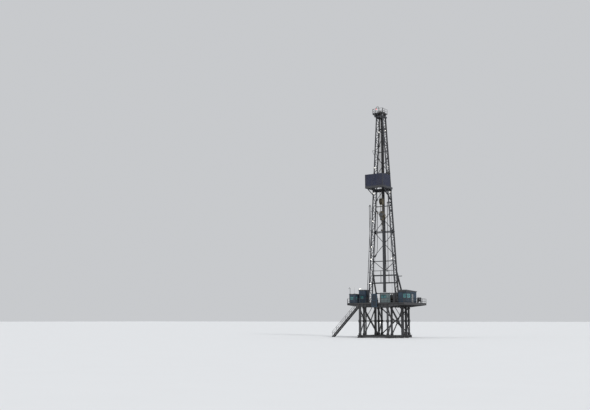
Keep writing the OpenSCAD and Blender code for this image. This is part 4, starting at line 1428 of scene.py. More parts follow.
@dataclass
class Crown(Assembly):
    """Bearing caps, guards, grating, mast head light and sheave hubs of the crown."""

    sizes: Sizes
    deck: float = 25.88
    beacon: Pair = (0.06, -0.48)
    guard: float = 0.335

    def parts(self) -> list[Part]:
        """The pieces of the crown.

        Returns:
            The pieces in order.
        """
        return [Part("crown_caps", self._caps, "machine_grey"),
            Part("crown_guards", self._guards, "block_yellow"),
            Part("crown_grating", self._grating, "rail_steel"),
            Part("crown_hubs", partial(self._hubs, faces=(0.143, -0.143), y=0.0), "sheave_steel",
                Body.SHEAVES),
            Part("fast_hub", partial(self._hubs, faces=(0.323, 0.277), y=0.4), "sheave_steel",
                Body.FAST),
            Part("beacon_post", self._beacon_post, "mast_steel", node="beacon"),
            Part("beacon_lens", self._beacon_lens, "lamp_red"),
            Part("crown_antenna", self._antenna, "rail_steel")]

    def _caps(self) -> None:
        """Adds the caps over the bearings and the stiffeners of the crown beams."""
        z, top = self.sizes.axle, self.sizes.floor + self.sizes.mast_h
        for x in (-0.225, 0.225):
            for side in SIDES:
                self.box((x - 0.03, side * 0.043, z - 0.036), (x + 0.03, side * 0.085, z + 0.05))
            self.box((x - 0.03, -0.085, z + 0.043), (x + 0.03, 0.085, z + 0.065))
            self.pins((x,), (-0.064, 0.064), (z + 0.06, z + 0.085), 0.012)
        for side, y, face in product(SIDES, (-0.6, -0.3, 0.0, 0.3, 0.6), SIDES):
            rib = flat((side * 0.4 + face * 0.062, y, top), "xz",
                [(0, 0.01), (0.035, 0.01), (0, 0.15)], face)
            self.plate(rib, (0, 0.008, 0))

    def _guards(self) -> None:
        """Adds the hoops that keep the line on the sheaves."""
        z, reach, half = self.sizes.axle, self.guard, 0.165
        for x in (-half, half):
            hoop = arc((x, 0, z), "yz", reach, 15, 0, 180)
            self.tube([(x, reach, z - 0.3), *hoop, (x, -reach, z - 0.3)], 0.01, 8)
        for turn in (35, 65, 90, 115, 145):
            left, right = (arc((x, 0, z), "yz", reach, 1, turn, turn)[0] for x in (-half, half))
            self.rod(left, right, 0.008, 8)

    def _grating(self) -> None:
        """Adds the bearing bars and cross bars of the platform, which leave the sheaves free."""
        z = self.deck
        self.row((-0.683, -0.62, z), (-0.677, 0.6, z + 0.005), (0.045, 0, 0), 9)
        self.row((-0.278, -0.62, z), (-0.272, -0.345, z + 0.005), (0.045, 0, 0), 20)
        self.row((-0.68, -0.604, z), (0.58, -0.596, z + 0.006), (0, 0.1, 0), 3)
        self.row((-0.68, -0.304, z), (-0.31, -0.296, z + 0.006), (0, 0.1, 0), 10)

    def _hubs(self, faces: Pair, y: float) -> None:
        """Adds hub rings and ribs on the two outer faces of a row of sheaves.

        Args:
            faces: place of the right and the left face.
            y: place of the axle.
        """
        z = self.sizes.axle
        for x, way in zip(faces, (1, -1)):
            self.rod((x - way * 0.002, y, z), (x + way * 0.01, y, z), 0.075, 24)
            inner, outer = (arc((x + way * 0.003, y, z), "yz", reach, 8)[:8]
                for reach in (0.07, 0.235))
            for a, b in zip(inner, outer):
                self.bar(a, b, 0.016, 0.01)

    def _beacon_post(self) -> None:
        """Adds the bent post of the beacon, its foot, its cable and the cap of its lamp."""
        (x, y), z = self.beacon, self.deck
        bend = arc((x - 0.18, y, z + 0.62), "xz", 0.18, 15, 0, 180)
        self.tube([(x, y, z), (x, y, z + 0.3), (x, y, z + 0.55), *bend], 0.026, 14)
        self.post(x, y, 0.07, (z, z + 0.012))
        self.rod((x - 0.36, y, z + 0.585), (x - 0.36, y, z + 0.625), 0.062, 20)
        self.tube(moved([(0.028, 0.014, 0.02), (0.03, 0.018, 0.3), (0.028, 0.014, 0.58)],
            (x, y, z)), 0.007, 6)

    def _beacon_lens(self) -> None:
        """Adds the red lens that hangs from the post."""
        (x, y), z = self.beacon, self.deck
        rims = [(0.585, 0.05), (0.52, 0.058), (0.492, 0.03)]
        for (a, first), (b, second) in zip(rims, rims[1:]):
            self.cone((x - 0.36, y, z + a), (x - 0.36, y, z + b), first, second, 20)

    def _antenna(self) -> None:
        """Adds the tip and the clamps of the antenna."""
        z = self.deck
        self.cone((0.44, -0.2, z + 0.62), (0.44, -0.2, z + 0.75), 0.006, 0.003, 8)
        self.row((0.418, -0.222, z + 0.12), (0.462, -0.178, z + 0.132), (0, 0, 0.15), 4)


@dataclass
class Reeving(Assembly):
    """The drilling lines, their turns over the sheaves, and the fast and dead lines."""

    sizes: Sizes
    count: int = 5
    steps: int = 20
    fast: Pair = (0.3, 0.4)
    drum: Point = (0.1, 2.11, 4.43)
    anchor: Point = (-1.44, 0.42, 4.461)

    def parts(self) -> list[Part]:
        """The lines and the anchor.

        Returns:
            The pieces in order.
        """
        axle, block = self.sizes.axle, self.sizes.block
        return [Part("drilling_line_falls", self._falls, "wire_rope", node="drilling_lines",
                stretch=((0, 0, axle), (0, 0, block))),
            Part("crown_line_turns", partial(self._turns, level=axle, start=0.0), "wire_rope"),
            Part("block_line_turns", partial(self._turns, level=block, start=180.0), "wire_rope",
                Body.HOIST),
            Part("fast_and_dead_line_parts", self._ends, "wire_rope", node="fast_and_dead_lines"),
            Part("dead_line_anchor", self._anchor, "machine_grey")]

    def _falls(self) -> None:
        """Adds the falls between the two blocks; the last one leads to the fast line sheave."""
        s = self.sizes
        for index in range(self.count):
            x, y = (index - 2) * s.pitch, s.line_y
            top, low = (x + s.pitch, y, s.axle), (x, y, s.block)
            if index == self.count - 1:
                top, low = (self.fast[0] + 0.004, self.fast[1] - y, s.axle), (x - 0.004, y, s.block)
            self.tube(straight((x, -y, s.axle), (x, -y, s.block), 2 * self.steps), s.line_r, 10)
            self.tube(straight(top, low, 2 * self.steps), s.line_r, 10)

    def _turns(self, level: float, start: float) -> None:
        """Adds the half turns of line in the grooves of one row of sheaves.

        Args:
            level: height of the axle.
            start: first angle of the turns, in degrees.
        """
        s = self.sizes
        for index in range(self.count):
            spot = ((index - 2) * s.pitch, 0, level)
            self.tube(arc(spot, "yz", s.line_y, self.steps, start, start + 180.0), s.line_r, 8)

    def _ends(self) -> None:
        """Adds the fast line with its turn over its sheave, and the dead line."""
        s, (x, y) = self.sizes, self.fast
        self.tube(arc((x, y, s.axle), "yz", s.line_y, self.steps, 180, 0), s.line_r, 8)
        for start, stop in (((x, y + s.line_y, s.axle), self.drum),
                ((-2 * s.pitch + 0.002, s.line_y, s.axle), self.anchor)):
            self.tube(straight(start, stop, 3 * self.steps), s.line_r, 10)

    def _anchor(self) -> None:
        """Adds the clamp and the post of the dead line."""
        x, y, z = *self.anchor[:2], self.sizes.floor
        self.box((-1.51, 0.33, z), (-1.37, 0.5, z + 0.025))
        self.pins((-1.495, -1.385), (0.345, 0.485), (z + 0.02, z + 0.045), 0.01)
        self.post(x, y, 0.035, (z + 0.02, z + 0.52))
        for side in (-0.048, 0.038):
            cheek = flat((x, y + side, z), "xz", [(-0.06, 0.025), (0.06, 0.025), (0.03, 0.2),
                (-0.03, 0.2)])
            self.plate(cheek, (0, 0.01, 0))
        self.cone((x, y, z + 0.52), (x, y, z + 0.6), 0.045, 0.03, 16)
        self.cone((x, y, z + 0.6), (x, y, z + 0.655), 0.022, 0.014, 16)
        self.row((-1.472, 0.4, z + 0.3), (-1.396, 0.475, z + 0.325), (0, 0, 0.06), 3)


@dataclass
class BoardTrim(Assembly):
    """Corrugated windwalls, grating, latches, rails, joists and girders of the racking board."""

    sizes: Sizes
    level: float = 17.16
    half: float = 1.13
    front: float = -1.8
    tall: float = 1.36
    fold: float = 0.05
    relief: float = 0.009
    sheet: float = 0.0015

    def parts(self) -> list[Part]:
        """The pieces of the board.

        Returns:
            The pieces in order.
        """
        return [Part("windwall_sheets", self._sheets, "windwall_navy", node="windwalls"),
            Part("windwall_frame", self._frame, "mast_steel"),
            Part("board_grating", self._walks, "rail_steel"),
            Part("finger_latches", self._latches, "block_yellow"),
            Part("board_rails", self._rails, "rail_steel"),
            Part("board_joists", self._joists, "mast_steel"),
            Part("board_girders", self._girders, "mast_steel")]

    def _sheet(self, start: Pair, stop: Pair) -> None:
        """Adds one folded sheet.

        Args:
            start: its first end in the plan.
            stop: its second end in the plan.
        """
        a, b = Vector((*start, self.level)), Vector((*stop, self.level))
        run = (b - a).length
        way = (b - a) / run
        side = Vector((-way.y, way.x, 0))
        count = int(run / self.fold)
        folds = [a + way * (run * (k + share) / count)
            + side * (-self.relief if k % 2 else self.relief) for k in range(count)
            for share in (0.12, 0.88)]
        line, half = [a, *folds, b], side * self.sheet
        for near, far in zip(line, line[1:]):
            self.plate([near + half, far + half, far - half, near - half], (0, 0, self.tall))

    def _sheets(self) -> None:
        """Adds the sheets of the front and of both sides."""
        end, y = self.half - 0.03, self.front + 0.028
        self._sheet((-end, y), (end, y))
        for side in SIDES:
            self._sheet((side * self.half, self.front + 0.06), (side * self.half, 0.0))

    def _frame(self) -> None:
        """Adds the rails and posts that the sheets are fixed to."""
        x, y, z, end = self.half - 0.012, self.front + 0.04, self.level, self.half - 0.03
        for up in (0.04, 0.46, 0.88, 1.31):
            self.row((x - 0.04, self.front + 0.06, z + up), (x, 0.0, z + up + 0.035), mirror=True)
            self.box((-end, y, z + up), (end, y + 0.038, z + up + 0.035))
        self.row((x - 0.04, -1.3, z), (x, -1.26, z + self.tall), (0, 0.44, 0), 3, mirror=True)
        self.row((-0.77, y, z), (-0.73, y + 0.038, z + self.tall), (0.375, 0, 0), 5)

    def _walks(self) -> None:
        """Adds the bars of the side walks and the front walk."""
        z = self.level
        self.row((0.697, -1.72, z), (0.703, -0.3, z + 0.005), (0.048, 0, 0), 9, mirror=True)
        self.row((0.69, -1.704, z), (1.09, -1.696, z + 0.006), (0, 0.092, 0), 16, mirror=True)
        self.row((-0.663, -1.735, z), (-0.657, -1.69, z + 0.005), (0.047, 0, 0), 29)

    def _latches(self) -> None:
        """Adds the tip and the hinged latch of every finger, and the edges of the middle board."""
        z, rows = self.level, [-1.645 + 0.115 * k for k in range(11)]
        self.row((0.2, -1.663, z - 0.074), (0.25, -1.627, z - 0.026), (0, 0.115, 0), len(rows),
            mirror=True)
        self.pins((-0.29, 0.29), rows, (z - 0.03, z - 0.012), 0.01, 8)
        for side, y in product(SIDES, rows):
            near, far = ((side * x, y - 0.008, z - 0.022) for x in (0.3, 0.5))
            self.bar(near, far, 0.01, 0.014)
        self.row((0.122, -1.68, z - 0.062), (0.128, -0.42, z - 0.01), mirror=True)

    def _rails(self) -> None:
        """Adds the inner rails of the side walks and the rail of the middle board."""
        z = self.level
        self.pins((-0.705, 0.705), (-1.55, -1.1, -0.65, -0.32), (z, z + 0.5), 0.011, 8)
        for x, up in product((-0.705, 0.705), (0.25, 0.5)):
            self.rod((x, -1.6, z + up), (x, -0.32, z + up), 0.011, 8)
        self.pins((-0.115, 0.115), (-0.44,), (z - 0.02, z + 0.45), 0.01, 8)
        self.rod((-0.115, -0.44, z + 0.45), (0.115, -0.44, z + 0.45), 0.01, 8)

    def _girders(self) -> None:
        """Adds the deep girders that carry the board round the sides and the rear of the mast."""
        low, high, s = self.level - 0.42, self.level - 0.03, self.sizes
        reach, front, rear = 0.992, s.front - 0.075, s.rear + 0.062
        self.row((reach, front, low), (reach + 0.012, rear + 0.012, high), mirror=True)
        self.row((reach, front + 0.025, low), (reach + 0.045, front + 0.035, high),
            (0, (rear - front - 0.06) / 5, 0), 6, mirror=True)
        self.box((-reach, rear, low), (reach, rear + 0.012, high))
        for z in (low, high - 0.012):
            self.row((reach - 0.004, front, z), (reach + 0.05, rear, z + 0.012), mirror=True)
            self.box((-reach, rear, z), (reach, rear + 0.055, z + 0.012))
        step = reach / 4.1
        self.row((-4 * step - 0.005, rear, low), (-4 * step + 0.005, rear + 0.05, high),
            (step, 0, 0), 9)

    def _joists(self) -> None:
        """Adds the joists and diagonals under the walks."""
        z = self.level - 0.021
        self.row((0.73, -1.635, z - 0.11), (1.1, -1.605, z), (0, 0.25, 0), 6, mirror=True)
        for side in SIDES:
            for k in range(5):
                y = -1.62 + 0.25 * k
                a, b = (1.1, 0.73) if k % 2 else (0.73, 1.1)
                self.bar((side * a, y, z - 0.16), (side * b, y + 0.25, z - 0.16), 0.03, 0.03)
            self.bar((side * 1.095, -1.7, z - 0.19), (side * 1.02, -0.24, z - 0.19), 0.04, 0.04)


@dataclass
class SubstructureTrim(Assembly):
    """Stiffeners, gussets, pins, flanges and pull eyes of the substructure."""

    truss: float = 1.75
    beam: float = 3.435
    deck: float = 3.785
    half_base: float = 0.25
    gusset: float = 0.17
    posts: tuple[float, ...] = (-2.3, -1.34, 1.36, 2.12, 2.9)
    rows: tuple[float, ...] = (-2.3, -1.34, -0.62, 0.62, 1.36, 2.12, 3.1)
    inner: float = 0.62

    def parts(self) -> list[Part]:
        """The pieces of the substructure.

        Returns:
            The pieces in order.
        """
        return [Part("base_stiffeners", self._bases, "base_steel"),
            Part("truss_gussets", self._nodes, "base_steel"),
            Part("wing_flanges", self._wings, "base_steel"),
            Part("beam_stiffeners", self._beams, "base_steel"),
            Part("floor_services", self._services, "machine_grey")]

    def _bases(self) -> None:
        """Adds the web stiffeners, end plates and pull eyes of the base boxes."""
        near, far = self.half_base - 0.062, self.half_base - 0.004
        for x in (-self.truss, self.truss):
            for way in SIDES:
                self.row((x + way * near, -2.428, 0.038), (x + way * far, -2.412, 0.262),
                    (0, 0.5, 0), 12)
            for y, way in ((-2.46, -1), (3.16, 1)):
                self.row((x - 0.15, y, 0.1), (x - 0.13, y + way * 0.036, 0.26), (0.28, 0, 0), 2)
                self.rod((x - 0.15, y + way * 0.018, 0.18), (x + 0.15, y + way * 0.018, 0.18),
                    0.022, 12)
            for y in self.posts:
                self.box((x - 0.13, y - 0.14, 0.299), (x + 0.13, y + 0.14, 0.318))
                self.pins((x - 0.11, x + 0.11), (y - 0.12, y + 0.12), (0.31, 0.34), 0.012)

    def _nodes(self) -> None:
        """Adds the pinned gusset plates of the truss joints."""
        wide, levels = self.gusset, ((0.42, 0.12), ((0.3 + self.beam) / 2, 0.16),
            (self.beam - 0.12, 0.11))
        for side, face, y, (z, tall) in product(SIDES, SIDES, self.posts, levels):
            x = side * self.truss + face * 0.092
            half = [(-wide, -0.4 * tall), (-0.6 * wide, -tall), (0.6 * wide, -tall),
                (wide, -0.4 * tall)]
            rim = [*half, *((-along, -up) for along, up in half)]
            self.plate(flat((x, y, z), "yz", rim), (face * 0.01, 0, 0))
            self.rod((x, y, z), (x + face * 0.03, y, z), 0.03, 16)
            for bolt in (y - 0.11, y + 0.11):
                self.rod((x, bolt, z), (x + face * 0.02, bolt, z), 0.012, 6)

    def _wings(self) -> None:
        """Adds flanges along the wing brackets, and feet, caps and struts of the props."""
        inner, deck = self.truss + 0.09, self.deck
        for side, reach in ((-1, 3.27), (1, 3.8)):
            for y in self.rows:
                self.bar((side * inner, y, self.beam - 0.004), (side * reach, y, deck - 0.152),
                    0.012, 0.12)
                for share in (0.33, 0.66):
                    x, low = side * (inner + (reach - inner) * share), deck - 0.34 + 0.2 * share
                    self.box((x - 0.006, y - 0.055, low), (x + 0.006, y + 0.055, deck - 0.002))
            for y in (-self.inner, self.inner):
                x = side * 2.6
                self.post(x, y, 0.1, (3.42, 3.445))
                for a, b in ((-1, 0), (1, 0), (0, -1), (0, 1)):
                    fin = [(x + a * out - b * 0.006, y + b * out - a * 0.006, up)
                        for out, up in ((0.055, 0.03), (0.145, 0.03), (0.055, 0.17))]
                    self.plate(fin, (b * 0.012, a * 0.012, 0))
                self.bar((x, y, 2.2), (side * (self.truss + 0.06), y, 3.38), 0.05, 0.05)

    def _beams(self) -> None:
        """Adds the web stiffeners of the floor beams, clear of the crossings."""
        low, high = self.beam + 0.02, self.deck - 0.02
        lines = [side * place for side in SIDES for place in (self.inner, self.truss)]
        across, along = ([first + 0.42 * k for k in range(count)]
            for first, count in ((-1.68, 9), (-2.15, 13)))
        for y, x in product(self.rows, across):
            if min(abs(x - line) for line in lines) > 0.1:
                self.box((x - 0.005, y - 0.075, low), (x + 0.005, y + 0.075, high))
        for x, y in product(lines, along):
            if min(abs(y - row) for row in self.rows) > 0.1:
                self.box((x - 0.075, y - 0.005, low), (x + 0.075, y + 0.005, high))

    def _services(self) -> None:
        """Adds the pipes and the cable tray that hang under the floor."""
        z, top = self.beam - 0.03, self.beam + 0.002
        for x in (-1.2, -1.1, -1.02):
            self.rod((x, -2.25, z), (x, 3.05, z), 0.02, 8)
        for x in (1.15, 1.185, 1.22, 1.255):
            self.rod((x, -2.2, z - 0.012), (x, 3.0, z - 0.012), 0.012, 8)
        self.row((1.12, -2.25, z - 0.03), (1.126, 3.05, z + 0.02), (0.18, 0, 0), 2)
        self.row((1.12, -2.2, z - 0.03), (1.306, -2.18, z - 0.024), (0, 0.2, 0), 27)
        for y in self.rows:
            self.box((-1.24, y - 0.01, z - 0.025), (-0.98, y + 0.01, top))
            self.box((1.11, y - 0.01, z - 0.03), (1.316, y + 0.01, top))


@dataclass
class FloorTrim(Assembly):
    """Deck sheets, rail sockets, rotary fittings, gate mesh and stair self."""

    sizes: Sizes
    left: float = 3.32
    right: float = 3.85
    front: float = 2.4
    rear: float = 3.2
    risers: int = 36
    stair_run: float = 3.74

    def parts(self) -> list[Part]:
        """The pieces of the floor.

        Returns:
            The pieces in order.
        """
        return [Part("wing_deck_sheets", self._sheets, "deck_steel"),
            Part("rail_sockets", self._sockets, "rail_steel"),
            Part("rotary_fittings", self._rotary, "sheave_steel"),
            Part("gate_mesh", self._gate, "rail_steel"),
            Part("stair_trim", self._stair, "rail_steel")]

    def _sheets(self) -> None:
        """Adds the plates of the wings, with a seam between them."""
        z, seam = self.sizes.floor, 0.004
        rows = [-self.front, -1.3, -0.2, 0.9, 2.05, self.rear]
        for (x0, x1), (y0, y1) in product(((-self.left, -1.84), (1.84, self.right)),
                zip(rows, rows[1:])):
            self.box((x0 + seam, y0 + seam, z - seam), (x1 - seam, y1 - seam, z + seam))

    def _sockets(self) -> None:
        """Adds feet, sockets and caps of the rail posts, bars between, and the stair's chains."""
        z, foot = self.sizes.floor, 0.032
        left, right = -self.left + 0.02, self.right - 0.02
        front, rear = -self.front + 0.02, self.rear - 0.02
        runs = [((left, front), (-0.19, front), 4), ((0.58, front), (right - 0.04, front), 4),
            ((right, front), (right, rear - 0.04), 6), ((left + 0.04, rear), (right, rear), 8),
            ((left, front + 0.06), (left, 0.22), 3), ((left, 0.78), (left, rear), 3)]
        for start, stop, count in runs:
            spots = straight((*start, z), (*stop, z), 2 * count)
            for x, y, _ in spots[::2]:
                self.box((max(x - foot, -self.left), max(y - foot, -self.front), z),
                    (min(x + foot, self.right), min(y + foot, self.rear), z + 0.007))
                self.post(x, y, 0.018, (z, z + 0.1))
                self.post(x, y, 0.016, (z + 0.535, z + 0.566))
            for x, y, _ in spots[1::2]:
                self.post(x, y, 0.01, (z + 0.05, z + 0.55))
        for height in (0.28, 0.52):
            links = [(left, 0.22 + 0.56 * k / 16, z + height - 0.1 * math.sin(math.pi * k / 16))
                for k in range(17)]
            self.tube(links, 0.006, 6)

    def _rotary(self) -> None:
        """Adds the bolts, locks and lip of the rotary table."""
        z = self.sizes.floor
        self.studs((0, 0, z + 0.03), "xy", 0.305, 24, (0, 0, 0.018), 0.009)
        self.studs((0, 0, z + 0.03), "xy", 0.27, 4, (0, 0, 0.014), 0.02, 16, 45.0)
        self.collar(z + 0.039, 0.239, 0.254, 0.007, 32)
        self.pins((-0.56, 0.56), (-0.56, 0.0, 0.56), (z - 0.002, z + 0.012), 0.018)

    def _gate(self) -> None:
        """Adds the upright bars, the mid rails and the hinges of the tall gate."""
        y, z = -self.front - 0.06, self.sizes.floor
        self.row((-0.026, y - 0.008, z - 0.36), (-0.014, y + 0.006, z + 1.02), (0.052, 0, 0), 9)
        for up in (-0.1, 0.08, 0.55, 0.78):
            self.box((-0.06, y - 0.012, z + up), (0.45, y + 0.006, z + up + 0.025))
        for up in (0.14, 0.66):
            self.pins((-0.05, 0.44), (y - 0.014,), (z + up, z + up + 0.09), 0.014, 10)

    def _stair(self) -> None:
        """Adds the nosings, tread bars, cleats and foot plates of the stair."""
        rise, going = self.sizes.floor / self.risers, self.stair_run / self.risers
        foot = -self.left - self.stair_run
        boxes = [((-0.062, 0.307, -0.022), (-0.05, 0.693, 0.004)),
            ((-0.055, 0.305, -0.045), (0.055, 0.311, 0.002)),
            ((-0.055, 0.689, -0.045), (0.055, 0.695, 0.002))]
        boxes += [((x - 0.002, 0.31, -0.001), (x + 0.002, 0.69, 0.004))
            for x in (-0.035, -0.013, 0.009, 0.031, 0.053)]
        for low, high in boxes:
            low, high = moved((low, high), (foot + going, 0, rise))
            self.row(low, high, (going, 0, rise), self.risers - 1)
        self.row((foot + 0.005, 0.262, 0.0), (foot + 0.24, 0.318, 0.012), (0, 0.42, 0), 2)


@dataclass
class DrawworksTrim(Assembly):
    """Rope wraps, brakes, doors, motors and guards of the drawworks and the winch."""

    sizes: Sizes
    drum: Pair = (1.9, 4.43)
    winch: Pair = (2.325, 4.18)

    def parts(self) -> list[Part]:
        """The pieces of the drawworks and the winch.

        Returns:
            The pieces in order.
        """
        drum = partial(self._wraps, axle=self.drum, span=(-0.385, 0.385), radius=0.208, turns=42,
            rope=0.0085)
        winch = partial(self._wraps, axle=self.winch, span=(3.252, 3.538), radius=0.126, turns=26,
            rope=0.005)
        return [Part("drum_line", drum, "wire_rope"),
            Part("winch_line", winch, "wire_rope"),
            Part("drum_brakes", self._brakes, "sheave_steel"),
            Part("drawworks_doors", self._housings, "machine_grey"),
            Part("drawworks_motors", self._motors, "machine_grey"),
            Part("winch_fittings", self._winch, "machine_grey")]

    def _wraps(self, axle: Pair, span: Pair, radius: float, turns: int, rope: float) -> None:
        """Adds one layer of line on a drum.

        Args:
            axle: place and height of the axle.
            span: from where to where along the drum.
            radius: radius of the layer.
            turns: number of turns.
            rope: radius of the line.
        """
        count = 18 * turns
        step = (span[1] - span[0]) / count
        coil = arc((span[0], *axle), "yz", radius, count, 0, 360 * turns)
        self.tube([shift(spot, (step * k, 0, 0)) for k, spot in enumerate(coil)], rope, 6)

    def _brakes(self) -> None:
        """Adds the brake discs, hubs and calipers outside the drum flanges."""
        for way in SIDES:
            spot = (way * 0.44, *self.drum)
            self.rod(spot, shift(spot, (way * 0.018, 0, 0)), 0.345, 40)
            self.rod(spot, shift(spot, (way * 0.05, 0, 0)), 0.12, 24)
            self.studs(shift(spot, (way * 0.015, 0, 0)), "yz", 0.17, 10, (way * 0.015, 0, 0), 0.013)
            for turn in (0.6, 2.5):
                place = shift(spot, (0, 0.3 * math.cos(turn), 0.3 * math.sin(turn)))
                self.box(shift(place, (-way * 0.02, -0.07, -0.05)),
                    shift(place, (way * 0.045, 0.07, 0.06)))

    def _housings(self) -> None:
        """Adds doors, louvres, edges and lifting eyes of the housings, and the guard between."""
        z = self.sizes.floor
        for side in SIDES:
            outer, inner, lid = side * 1.16, side * 0.52, (side * 0.84, 2.0, z + 1.13)
            for y in (1.46, 1.86, 2.26):
                self.box((outer, y, z + 0.18), (outer + side * 0.012, y + 0.34, z + 0.78))
                self.row((outer, y + 0.04, z + 0.86), (outer + side * 0.014, y + 0.3, z + 0.872),
                    (0, 0, 0.035), 6)
                self.pins((outer + side * 0.03,), (y + 0.28,), (z + 0.44, z + 0.54), 0.007, 8)
                for up in (z + 0.24, z + 0.7):
                    self.pins((outer + side * 0.014,), (y + 0.02,), (up - 0.03, up + 0.03), 0.009,
                        8)
            for x, y in product((outer - side * 0.02, inner), (1.4, 2.588)):
                self.box((x, y - 0.006, z + 0.11), (x + side * 0.03, y + 0.018, z + 1.12))
            self.box((outer + side * 0.015, 1.385, z + 1.118),
                (inner - side * 0.015, 2.615, z + 1.14))
            for foot in product((side * 0.66, side * 1.02), (1.52, 2.48), (z + 1.14,)):
                self.eye(foot, 0.008, 0.06)
            self.rod(lid, shift(lid, (0, 0, 0.07)), 0.13, 24)
            self.studs(shift(lid, (0, 0, 0.06)), "xy", 0.11, 8, (0, 0, 0.025), 0.01)
        for y in (1.248, 2.834):
            self.row((-1.156, y, z + 0.005), (-1.144, y + 0.018, z + 0.108), (0.21, 0, 0), 12)
        hoop = [(-0.5, 0.0, 0.8), (-0.35, -0.02, 1.0), (0.0, -0.02, 1.06), (0.35, -0.02, 1.0),
            (0.5, 0.0, 0.8)]
        for y in (1.5, 1.62):
            self.tube(moved(hoop, (0, y, z)), 0.014, 8)

    def _motors(self) -> None:
        """Adds two finned motors, their terminal boxes and cables on the rear casing."""
        y, axis = 2.63, self.sizes.floor + 0.93
        cable = [(0.06, 0.17), (0.1, 0.17), (0.13, 0.1), (0.135, -0.47), (0.135, -0.79)]
        for side in SIDES:
            barrel = [(0.06, 0.48, 0.125, 0.125), (0.48, 0.51, 0.125, 0.09)]
            fins = [(0.09 + 0.045 * k, 0.1 + 0.045 * k, 0.145, 0.145) for k in range(9)]
            for near, far, first, second in barrel + fins:
                self.cone((side * near, y, axis), (side * far, y, axis), first, second, 28)
            self.box((side * 0.06, y - 0.11, axis - 0.172), (side * 0.48, y + 0.11, axis - 0.12))
            x = side * 0.27
            self.box((x - 0.07, y - 0.06, axis + 0.12), (x + 0.07, y + 0.06, axis + 0.22))
            self.box((x - 0.076, y - 0.066, axis + 0.215), (x + 0.076, y + 0.066, axis + 0.23))
            self.tube(flat((x, y, axis), "yz", cable), 0.014, 8)

    def _winch(self) -> None:
        """Adds the motor, lever, bolts and ribs of the utility winch."""
        z = self.sizes.floor
        for x, way in ((3.165, -1), (3.625, 1)):
            self.cone((x, *self.winch), (x + way * 0.012, *self.winch), 0.09, 0.08, 24)
            self.studs((x, *self.winch), "yz", 0.06, 6, (way * 0.02, 0, 0), 0.008)
        self.row((3.2, 2.236, z + 0.57), (3.212, 2.414, z + 0.704), (0.06, 0, 0), 7)
        self.tube([(3.3, 2.25, z + 0.7), (3.3, 2.24, z + 0.8), (3.3, 2.2, z + 0.86)], 0.008, 8)
        self.cone((3.3, 2.205, z + 0.85), (3.3, 2.195, z + 0.875), 0.016, 0.012, 12)
        self.pins((3.18, 3.62), (2.17, 2.48), (z + 0.06, z + 0.088), 0.013)


